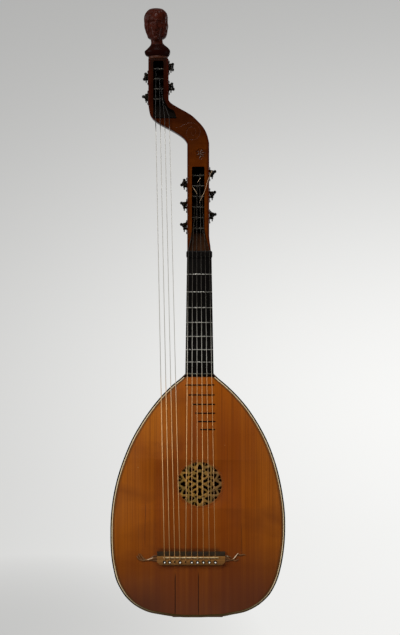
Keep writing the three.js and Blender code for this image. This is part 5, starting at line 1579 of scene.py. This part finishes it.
class LUTE_OT_tuners(bpy.types.Operator):
    """Make the ten machine heads: plate, post with its wheel, and worm with its three-lobed button"""
    bl_idname = "lute.tuners"
    bl_label = "Tuners"

    def execute(self, context):
        tuners = context.scene.lute_tuners
        roller = look_of("post_roller", old_metal, tuners.roller, paint(16, 14, 11), 0.26, 0.85)
        steel = look_of("worm_steel", old_metal, paint(32, 29, 26), paint(16, 14, 12), 0.32)
        brass = brass_look()
        horn = look_of("button_horn", horn_button, tuners.button)
        for post in posts():
            number, side, z = post["number"], post["side"], post["z"]
            cheek, out = post["cheek"], post["out"]
            centre = (cheek, POST_DEPTH, z)

            outline = round_corners((-7.35, -10.95), (7.35, 17.95), 2.2)
            shapes = [slab(outline, 0.35, 1.5, 0.25, 0, side)]
            lug = round_corners((0.9, SHAFT_SPACING - 2.75), (out + 2.15, SHAFT_SPACING + 2.75), 1.9)
            lug = [(side * a, b) for a, b in lug]
            for low in (-7.35, 6.25):
                shapes.append(slab(lug, low, low + 1.1, 0.2, 1))
            shapes = [moved(shape, centre) for shape in shapes]
            shapes.append(
                lathe(
                    [(0, 3.2), (0.35, 3.2), (0.5, 2.9)], 28,
                    (cheek + side * 1.5 - (0.5 if side < 0 else 0), POST_DEPTH, z), 0))
            for y, up, turn in ((0, -8.6, 0.5), (0, 15.6, 1.7)):
                shapes.append(
                    screw_shape(cheek + side * 1.5, side, POST_DEPTH + y, z + up, 1.9, 0.95, turn + number))
            set_in_place(
                f"tuner_bracket_{number}", together(shapes), [brass], [f"tuner_plate_{number}"])

            turned = post["turn"] / GEAR_TEETH
            length = abs(post["cheek"] - post["far"])
            bar = [
                (-length - 3.9, 2.0), (-length - 3.9, 2.9), (-length - 3.5, 3.3), (-length + 0.6, 3.3),
                (-length + 1.1, 3.45), (-length + 1.9, 3.45), (-length + 2.3, 3.05), (-length + 3, 3.0),
                (-13.5, 3.0), (-12.6, 3.05), (-12.2, 3.45), (-11.2, 3.45), (-10.6, 3.3), (-0.6, 3.3),
                (-0.1, 3.0), (-0.1, 2.1), (out + 1.3, 2.1)]
            bar = [(side * along, radius) for along, radius in bar]
            rod = lathe(bar, 32, centre, 0)
            wheel = moved(gear_shape(turned), (cheek + side * out, POST_DEPTH, z))
            boss = lathe(
                [
                    (side * (out + 1.1), 2.7), (side * (out + 1.8), 2.6), (side * (out + 2.3), 2.1),
                    (side * (out + 2.5), 1.3)],
                24, centre, 0)
            name = f"tuner_roller_{number}"
            obj = set_in_place(
                name, together([rod, wheel, boss]), [roller, brass], [f"tuner_post_{number}"],
                body=f"post_{number}")
            paint_faces(obj.data, lambda x, y, z, normal: int((x - cheek) * side > out - 2))

            shaft_x, shaft_z = cheek + side * out, z + SHAFT_SPACING
            shaft = lathe([(-8.2, 0.9), (-7.9, 1.36), (16.5, 1.36)], 24, (shaft_x, POST_DEPTH, shaft_z), 1)
            worm = moved(worm_shape(post["turn"]), (shaft_x, POST_DEPTH, shaft_z))
            collar = lathe(
                [(11.2, 1.36), (11.5, 2.3), (13.2, 2.5), (14.4, 3.0)], 28, (shaft_x, POST_DEPTH, shaft_z),
                1)
            name = f"tuner_worm_{number}"
            set_in_place(name, together([shaft, worm]), [steel], body=f"button_{number}")
            lobes = [(shaft_x + x, shaft_z + z) for x, z in trefoil(post["turn"], tuners.lobe_size)]
            grip = plate("button", lobes, POST_DEPTH + 14.25, POST_DEPTH + 20.15, tuners.button_edge, (), 5)
            grip = joined(grip, as_mesh("collar", collar))
            set_in_place(
                f"tuner_knob_{number}", grip, [horn], [f"tuner_button_{number}"], 60,
                body=f"button_{number}")
        return {"FINISHED"}


def string_path(post):
    """A string from its pin over saddle and nut to its post and round it, and its radius."""
    string = post["string"]
    if post["bass"]:
        radius = BASS_RADII[string]
        saddle_x, nut_x = string_place(SADDLE_BASSES, string), string_place(NUT_BASSES, string)
        nut_y, nut_z = -1.6, (BASS_NUT - 1.3, BASS_NUT + 1.3)
    else:
        radius = STRING_RADII[string]
        saddle_x, nut_x = string_place(SADDLE_FRETTED, string), string_place(NUT_FRETTED, string)
        nut_y, nut_z = -2.2, (NUT_FOOT, NECK_TOP)
    nut_y -= 0.25 + radius
    top = -BRIDGE_RISE - SADDLE_RISE
    path = [
        np.array((saddle_x, -BRIDGE_RISE - 0.3 - radius, 118.6)),
        np.array((saddle_x, top - 0.3 - radius, SADDLE_Z)), *(np.array((nut_x, nut_y, z)) for z in nut_z)]
    wind = BARREL_RADIUS + 0.4 + radius
    up, back = post["z"] - path[-1][2], POST_DEPTH - path[-1][1]
    begin = math.atan2(back, up) - math.asin(wind / math.hypot(up, back))
    pitch = radius * 2 + WINDING_GAP
    steps = 24
    for i in range(int(steps * WINDING_TURNS) + 1):
        angle = begin + 2 * math.pi * i / steps
        path.append(
            np.array(
                (
                    post["start"] + post["way"] * pitch * i / steps, POST_DEPTH - wind * math.cos(angle),
                    post["z"] + wind * math.sin(angle))))
    end = path[-1] - path[-2]
    end[0] = 0
    path.append(path[-1] + end / np.linalg.norm(end) * radius * 3.2)
    return path, radius


class LUTE_OT_strings(bpy.types.Operator):
    """Run the six fretted and four bass strings, with a few loose ends at the posts"""
    bl_idname = "lute.strings"
    bl_label = "Strings"

    def execute(self, context):
        strings = context.scene.lute_strings
        # Painted shade: the fretted strings darken where they run past the nut into the lower pegbox.
        shade_above_nut = (0.75, 0.785, paint(44, 36, 26), paint(30, 24, 16))
        over_board = (0.14, 0.34, strings.plain, paint(206, 160, 104))
        played = [
            over_board, (0.488, 0.505, paint(190, 186, 176), paint(156, 152, 142)),
            (0.55, 0.65, paint(88, 84, 76), paint(62, 58, 52)),
            (0.65, 0.73, paint(46, 41, 34), paint(32, 28, 22)), shade_above_nut]
        plain = look_of("string_gut", gut, strings.low, paint(136, 96, 54), played)
        wound = look_of("string_wound", gut, strings.low, paint(136, 96, 54), played, 0.2)
        # The last two tones of the bass strings are painted shade: darker over the bend and inside the upper
        # pegbox.
        free = [
            (0.14, 0.34, strings.wound, paint(196, 150, 98)),
            (0.44, 0.5, paint(178, 175, 168), paint(158, 154, 146)),
            (0.995, 1.008, paint(30, 27, 23), paint(21, 18, 14)),
            (1.03, 1.05, paint(19, 17, 14), paint(13, 11, 9))]
        bass = look_of("string_bass", gut, strings.low, paint(136, 96, 54), free, 0.1)
        for post in posts():
            path, radius = string_path(post)
            name = f"string_run_{post['number']}"
            look = bass if post["bass"] else wound if post["string"] < 2 else plain
            set_in_place(
                name, tube(path, radius * 0.98, strings.sides), [look],
                [f"string_{post['number']}"], 80)
        ends = [
            [
                (1.0, 7.0, 850.5), (3.1, 3.0, 856.7), (11.7, -1.6, 874.6), (16.2, -2.6, 889.5),
                (20.3, -2.8, 902.2), (27.2, -1.6, 917.2)],
            [(-13.1, 4.5, 883.6), (-8.4, 2.6, 877), (-3.9, 3.6, 869.2)],
            [(3.1, 4.4, 902), (-0.6, 2.4, 897), (-3.3, 3.8, 892.2)]]
        shapes = [tube(smooth_line(points, 10), 0.34, 8) for points in ends]
        loose_gut = look_of("string_end", gut, paint(186, 158, 126), paint(150, 120, 90), ())
        set_in_place("string_ends", together(shapes), [loose_gut])
        return {"FINISHED"}


# Carved head

HEAD = (-88.0, POST_DEPTH)
CHIN = 1184.0
CROWN = 1251.6
HEAD_FOOT = EXTENSION_TOP + SEAM
MOULDING_TOP = 5.8
PEDESTAL_TOP = 30.0
# Height over the foot, then left, right, front and back from the middle, for the neck and pedestal.
PEDESTAL = [
    (0.0, 14.8, 21.8, 12.2, 11.6), (1.0, 15.9, 23.0, 13.2, 12.4), (3.0, 16.3, 24.0, 13.6, 12.8),
    (4.8, 16.2, 24.2, 13.4, 12.6), (5.6, 16.6, 24.3, 12.8, 12.0), (6.4, 18.4, 25.4, 13.2, 12.2),
    (8.0, 21.4, 26.6, 14.2, 12.8), (11.0, 23.1, 28.0, 15.2, 13.8), (13.5, 24.0, 28.6, 16.0, 14.3),
    (16.3, 24.3, 28.8, 16.2, 14.4), (18.0, 23.2, 28.7, 16.1, 14.3), (20.4, 20.4, 27.6, 15.2, 13.6),
    (24.5, 16.3, 24.2, 13.2, 12.4), (27.5, 13.6, 20.4, 11.4, 11.2), (30.0, 12.0, 17.2, 10.3, 10.8),
    (33.0, 11.0, 14.6, 10.0, 11.0), (36.0, 10.8, 13.5, 9.8, 12.0), (40.0, 11.4, 13.3, 9.6, 12.4),
    (60.0, 12.0, 13.0, 9.0, 13.0)]
# Height, then left and right of the middle, for the outside of the hair.
HAIR = [
    (1187.4, 10.0, 11.5), (1189.6, 14.2, 15.4), (1191.6, 17.0, 18.4), (1197.8, 18.9, 21.6),
    (1203.8, 22.0, 23.0), (1215.0, 24.0, 24.0), (1226.3, 25.2, 23.6), (1237.0, 24.6, 23.0),
    (1242.3, 22.6, 21.6), (1246.4, 19.2, 18.0), (1249.5, 15.2, 14.4), (1250.7, 12.6, 12.0),
    (1251.3, 9.8, 9.4), (1251.7, 5.4, 5.2)]


def meet(directions, centre, radii):
    """How far out each ray from the axis leaves an ellipse. 0 where it misses."""
    (dx, dy), (a, b) = directions, radii
    if a <= 0.01 or b <= 0.01:
        return np.zeros_like(dx)
    qa = (dx / a) ** 2 + (dy / b) ** 2
    qb = -2 * (dx * centre[0] / a**2 + dy * centre[1] / b**2)
    qc = (centre[0] / a) ** 2 + (centre[1] / b) ** 2 - 1
    root = qb**2 - 4 * qa * qc
    return np.where(root > 0, (-qb + np.sqrt(np.maximum(root, 0))) / (2 * qa), 0)


def blended(first, second, soft):
    """The larger of two, with a soft join."""
    join = np.maximum(soft - np.abs(first - second), 0) / soft
    return np.maximum(first, second) + join**2 * soft / 4


def bell(value, middle, spread):
    return np.exp(-(((value - middle) / spread) ** 2))


def step(value, low, high):
    t = np.clip((value - low) / (high - low), 0, 1)
    return t * t * (3 - 2 * t)


def head_ring(turn, z):
    """How far the carving stands from the axis at a height. Turn 0 is the front."""
    ways = np.sin(turn), -np.cos(turn)
    table = np.array(PEDESTAL)
    left, right, front, back = (np.interp(z - HEAD_FOOT, table[:, 0], table[:, k]) for k in (1, 2, 3, 4))
    wide = np.where(ways[0] < 0, left, right)
    deep = np.where(ways[1] < 0, front, back)
    stand = 1 / np.sqrt((ways[0] / wide) ** 2 + (ways[1] / deep) ** 2)
    if z < CHIN - 4:
        return stand

    def lump(x, y, up, rx, ry, rz, power=2.0):
        t = abs(z - up) / rz
        scale = (1 - t**power) ** (1 / power) if t < 1 else 0
        return meet(ways, (x, y), (rx * scale, ry * scale))

    skin = lump(0, 0.5, 1228, 18.6, 20.0, 23.4)
    skin = blended(skin, lump(0, -5.4, 1212, 15.4, 13.2, 25.5), 4)
    skin = blended(skin, lump(0, -5.8, 1199.5, 12.4, 12.0, 15.6, 2.3), 3)
    skin = blended(skin, lump(0, -13.2, 1188.6, 5.2, 4.4, 4.8), 4)
    if z < 1206:
        skin = blended(skin, np.minimum(stand, 13.6), 3)
    u = skin * ways[0]
    ahead = step(-ways[1], 0.25, 0.55)
    for side in (-1, 1):
        eye = u - side * 6.6
        skin = skin - 2.5 * ahead * bell(eye, 0, 4.6) * bell(z, 1218.2, 3.4)
        ball = 1 - (eye / 3.9) ** 2 - ((z - 1217.4) / 2.7) ** 2
        skin = skin + 1.5 * ahead * np.sqrt(np.maximum(ball, 0))
        rim_up = 1217.4 + 2.7 * np.sqrt(np.maximum(1 - (eye / 4.6) ** 2, 0))
        skin = skin + 0.75 * ahead * bell(z, rim_up, 0.75) * step(4.6 - np.abs(eye), 0, 0.8)
        rim_low = 1217.2 - 2.3 * np.sqrt(np.maximum(1 - (eye / 4.4) ** 2, 0))
        skin = skin + 0.4 * ahead * bell(z, rim_low, 0.7) * step(4.4 - np.abs(eye), 0, 0.8)
        brow = 1223.4 + 1.6 * (1 - (eye / 6.4) ** 2)
        skin = skin + 1.1 * ahead * bell(z, brow, 1.3) * step(6.6 - np.abs(eye), 0, 1.6)
        skin = skin + 1.2 * ahead * bell(u, side * 9.4, 4.4) * bell(z, 1209, 5.4)
        skin = skin + 1.6 * ahead * bell(u, side * 2.7, 1.35) * bell(z, 1205.4, 1.9)
        skin = skin - 0.5 * ahead * bell(u, side * (4.9 + (1203 - z) * 0.2), 0.8) * bell(z, 1202, 4)
    ridge = np.interp(z, [1202.8, 1204.2, 1206.4, 1212, 1221, 1226], [0, 3.9, 5.4, 3.7, 1.5, 0])
    width = np.interp(z, [1203, 1206.4, 1212, 1222], [2.0, 2.2, 1.7, 1.9])
    skin = skin + ridge * ahead * bell(u, 0, width)
    lips = step(6.0 - np.abs(u), 0, 3.4) * ahead
    skin = skin + lips * (1.35 * bell(z, 1198.7 - 0.4 * bell(u, 0, 1.1), 1.0) + 1.65 * bell(z, 1195.3, 1.25))
    skin = skin - 0.95 * ahead * step(6.4 - np.abs(u), 0, 1.4) * bell(z, 1197.1 + 0.012 * u**2, 0.42)
    skin = skin - 0.45 * ahead * bell(u, 0, 0.7) * bell(z, 1201.4, 1.4)
    skin = skin - 0.7 * ahead * bell(u, 0, 4) * bell(z, 1192.3, 1.2)

    t = (z - 1220) / (31.9 if z > 1220 else -33.0)
    power = 3.1 if z > 1220 else 3.4
    scale = (1 - t**power) ** (1 / power) if t < 1 else 0
    if scale == 0:
        return skin
    outside = np.array(HAIR)
    wide = np.where(ways[0] < 0, *(np.interp(z, outside[:, 0], outside[:, k]) for k in (1, 2)))
    hair = 1 / np.sqrt((ways[0] / wide) ** 2 + (ways[1] / (scale * np.where(ways[1] < 0, 19.0, 24.5))) ** 2)
    flow = turn + 0.10 * math.sin(z / 5.2 + 0.6) * np.sign(ways[0])
    lock = np.abs(np.sin(flow * 8.5 + 0.55 * math.sin(z / 7.3)))
    fine = np.sin(flow * 47 + 1.1 * math.sin(z / 4.1))
    wave = np.sin(z / 2.9 + 2.4 * np.abs(turn))
    hair = hair + scale * (1.5 * lock - 1.15 + 0.22 * fine + 0.34 * wave)
    face = np.abs(u / np.interp(z, [1186, 1200, 1222, 1240], [11.2, 13.2, 14.6, 12.8])) ** 2.6
    face = face + (np.abs(z - 1213.0) / (26.5 if z > 1213 else 33.0)) ** 2.6
    covered = np.maximum(step(face, 0.86, 1.1), 1 - step(-ways[1], 0.05, 0.3))
    return skin * (1 - covered) + np.maximum(hair, skin) * covered


class LUTE_OT_head(bpy.types.Operator):
    """Carve the head with its long hair, on a neck and a moulded pedestal"""
    bl_idname = "lute.head"
    bl_label = "Carved Head"

    def execute(self, context):
        head = context.scene.lute_head
        fine = head.grain_size
        heights = [HEAD_FOOT + 0.02, *np.arange(HEAD_FOOT + fine, CROWN - 3, fine),
                   *(CROWN - 3 * (1 - math.sin(a)) for a in np.linspace(0.02, math.pi / 2, 12))]
        turn = np.linspace(-math.pi, math.pi, int(170 / fine), endpoint=False)
        rings = []
        low, high = np.array((-114.3, -10.5)), np.array((-58.9, 39.2))
        for z in heights:
            out = np.maximum(head_ring(turn, z), 0.6)
            flat = np.column_stack((HEAD[0] + out * np.sin(turn), HEAD[1] - out * np.cos(turn)))
            flat = np.clip(flat, low, high)
            rings.append(np.column_stack((flat, np.full(len(turn), z))))
        mesh = as_mesh("carved_bust", loft(rings))
        stained = look_of(
            "head_wood", flamed_maple, head.wood, paint(60, 20, 9), paint(20, 6, 3), (40, 40, 120), 0.5,
            0.3, gloss=0.045)
        foot = look_of(
            "head_foot", flamed_maple, paint(22, 4, 2), paint(31, 7, 3), paint(12, 3, 2), (40, 40, 120),
            0.5, 0.26, gloss=0.015)
        band = look_of(
            "head_moulding", flamed_maple, head.moulding, paint(66, 34, 16), paint(34, 15, 7),
            (60, 60, 60), 0.4, 0.3, gloss=0.08)
        obj = set_in_place("carved_bust", mesh, [stained, band, foot], ["carved_head"], 60)

        def part(x, y, z, normal):
            up = z - HEAD_FOOT
            return 1 if up < MOULDING_TOP else 2 if up < PEDESTAL_TOP else 0

        paint_faces(obj.data, part)
        return {"FINISHED"}


# Studio


class LUTE_OT_studio(bpy.types.Operator):
    """Set up the round paper studio, its soft lamps and the camera"""
    bl_idname = "lute.studio"
    bl_label = "Studio"

    def execute(self, context):
        stage = context.scene.lute_stage
        profile = [
            (1, -350), (2300, -350), (3200, -290), (4000, 40), (4500, 800), (4700, 1800), (4600, 3200),
            (3900, 4500), (2400, 5400), (1, 5700)]
        curve = smooth_line(profile, 8)
        angles = full_turn(96)
        rings = [[(r * math.cos(a), PAD_INSET + r * math.sin(a), z) for a in angles] for r, z in curve]
        paper = loose("paper_round", as_mesh("paper_round", loft(rings, capped=False)))
        look, tree, place = finish("backdrop_paper")
        across, back, up = axes(tree, place)
        # The paper glows with painted light, brightest to the right and dimmer in front. It has a patch of
        # painted shade on the floor behind the lute to the left.
        glow = raised(tree, 2.71828, times(tree, oval(tree, across, up, (1.5, 0.1), (3.1, 1.75)), -1.0))
        light = levels(tree, glow, 0.0, 1.0, 0.395, 0.93)
        far = levels(tree, back, -0.6, 1.25, stage.front_share, 1.0)
        lit = times(tree, light, far)
        corner_shade = oval(tree, across, back, (-0.6, 1.2), (0.55, 0.9))
        lit = times(tree, lit, levels(tree, corner_shade, 0.0, 2.2, 0.76, 1.0))
        tooth = cloud(tree, place, (500, 500, 500), 2.0)
        sockets = {
            "Base Color": mixed(tree, tooth, paint(40, 40, 40), paint(50, 50, 50)),
            "Emission Color": mixed(tree, lit, (0, 0, 0), stage.backdrop),
            "Emission Strength": 1.0, "Roughness": 0.95, GLOSS: 0.0,
        }
        for socket, value in sockets.items():
            fill(tree.nodes["Principled BSDF"].inputs[socket], value)
        paper.data.materials.append(look)
        paper.data.shade_smooth()

        lamps = [
            ("key_lamp", (-2300, -1500, 1500), (-60, 0, 420), 1300, 66),
            ("fill_lamp", (2500, -1300, 700), (0, 0, 480), 1300, 26),
            ("high_lamp", (-200, -1750, 3000), (0, 0, 480), 1100, 50),
            ("top_lamp", (300, 100, 3900), (0, 100, 600), 1500, 12),
            ("back_lamp", (1700, 2400, 1500), (0, 100, 600), 1500, 26),
        ]
        for name, at, to, size, power in lamps:
            lamp = bpy.data.lights.new(name, "AREA")
            lamp.shape = "DISK"
            lamp.size = size * MM
            lamp.energy = power * stage.lamp
            obj = loose(name, lamp)
            obj.location = [v * MM for v in at]
            aim = Vector([(b - a) for a, b in zip(at, to)])
            obj.rotation_euler = aim.to_track_quat("-Z", "Y").to_euler()
            obj.visible_camera = False
        context.scene.view_settings.view_transform = "Standard"
        context.scene.view_settings.look = "None"

        camera = bpy.data.cameras.new("photo_camera")
        camera.sensor_fit = "VERTICAL"
        camera.sensor_height = 24
        camera.lens = 47.9
        camera.clip_end = 40
        obj = loose("photo_camera", camera)
        obj.location = (0.002, -PAD_INSET * MM - 2.6, 0.6154)
        obj.rotation_euler = (math.pi / 2, 0, 0)
        context.scene.camera = obj
        return {"FINISHED"}


STEPS = (
    LUTE_OT_studio, LUTE_OT_soundboard, LUTE_OT_edge, LUTE_OT_rose, LUTE_OT_bowl, LUTE_OT_tail,
    LUTE_OT_neck, LUTE_OT_bridge, LUTE_OT_pegboxes, LUTE_OT_tuners, LUTE_OT_strings, LUTE_OT_head)
SETTINGS = (
    ("lute_body", LuteBody), ("lute_neck", LuteNeck), ("lute_tuners", LuteTuners),
    ("lute_strings", LuteStrings), ("lute_head", LuteHead), ("lute_stage", LuteStage))


class LUTE_PT_workshop(bpy.types.Panel):
    """Sizes, colours and steps of the lute"""
    bl_idname = "LUTE_PT_workshop"
    bl_label = "Theorbo Lute"
    bl_space_type = "VIEW_3D"
    bl_region_type = "UI"
    bl_category = "Lute"

    def draw(self, context):
        for name, group in SETTINGS:
            column = self.layout.box().column()
            settings = getattr(context.scene, name)
            for key in group.__annotations__:
                column.prop(settings, key)
        column = self.layout.column(align=True)
        for operator in STEPS:
            column.operator(operator.bl_idname)


def register():
    for name, group in SETTINGS:
        bpy.utils.register_class(group)
        setattr(bpy.types.Scene, name, PointerProperty(type=group))
    for made in (*STEPS, LUTE_PT_workshop):
        bpy.utils.register_class(made)


def unregister():
    for made in (LUTE_PT_workshop, *reversed(STEPS)):
        bpy.utils.unregister_class(made)
    for name, group in reversed(SETTINGS):
        delattr(bpy.types.Scene, name)
        bpy.utils.unregister_class(group)


def main():
    register()
    for operator in STEPS:
        family, name = operator.bl_idname.split(".")
        getattr(getattr(bpy.ops, family), name)()


if __name__ == "__main__":
    main()
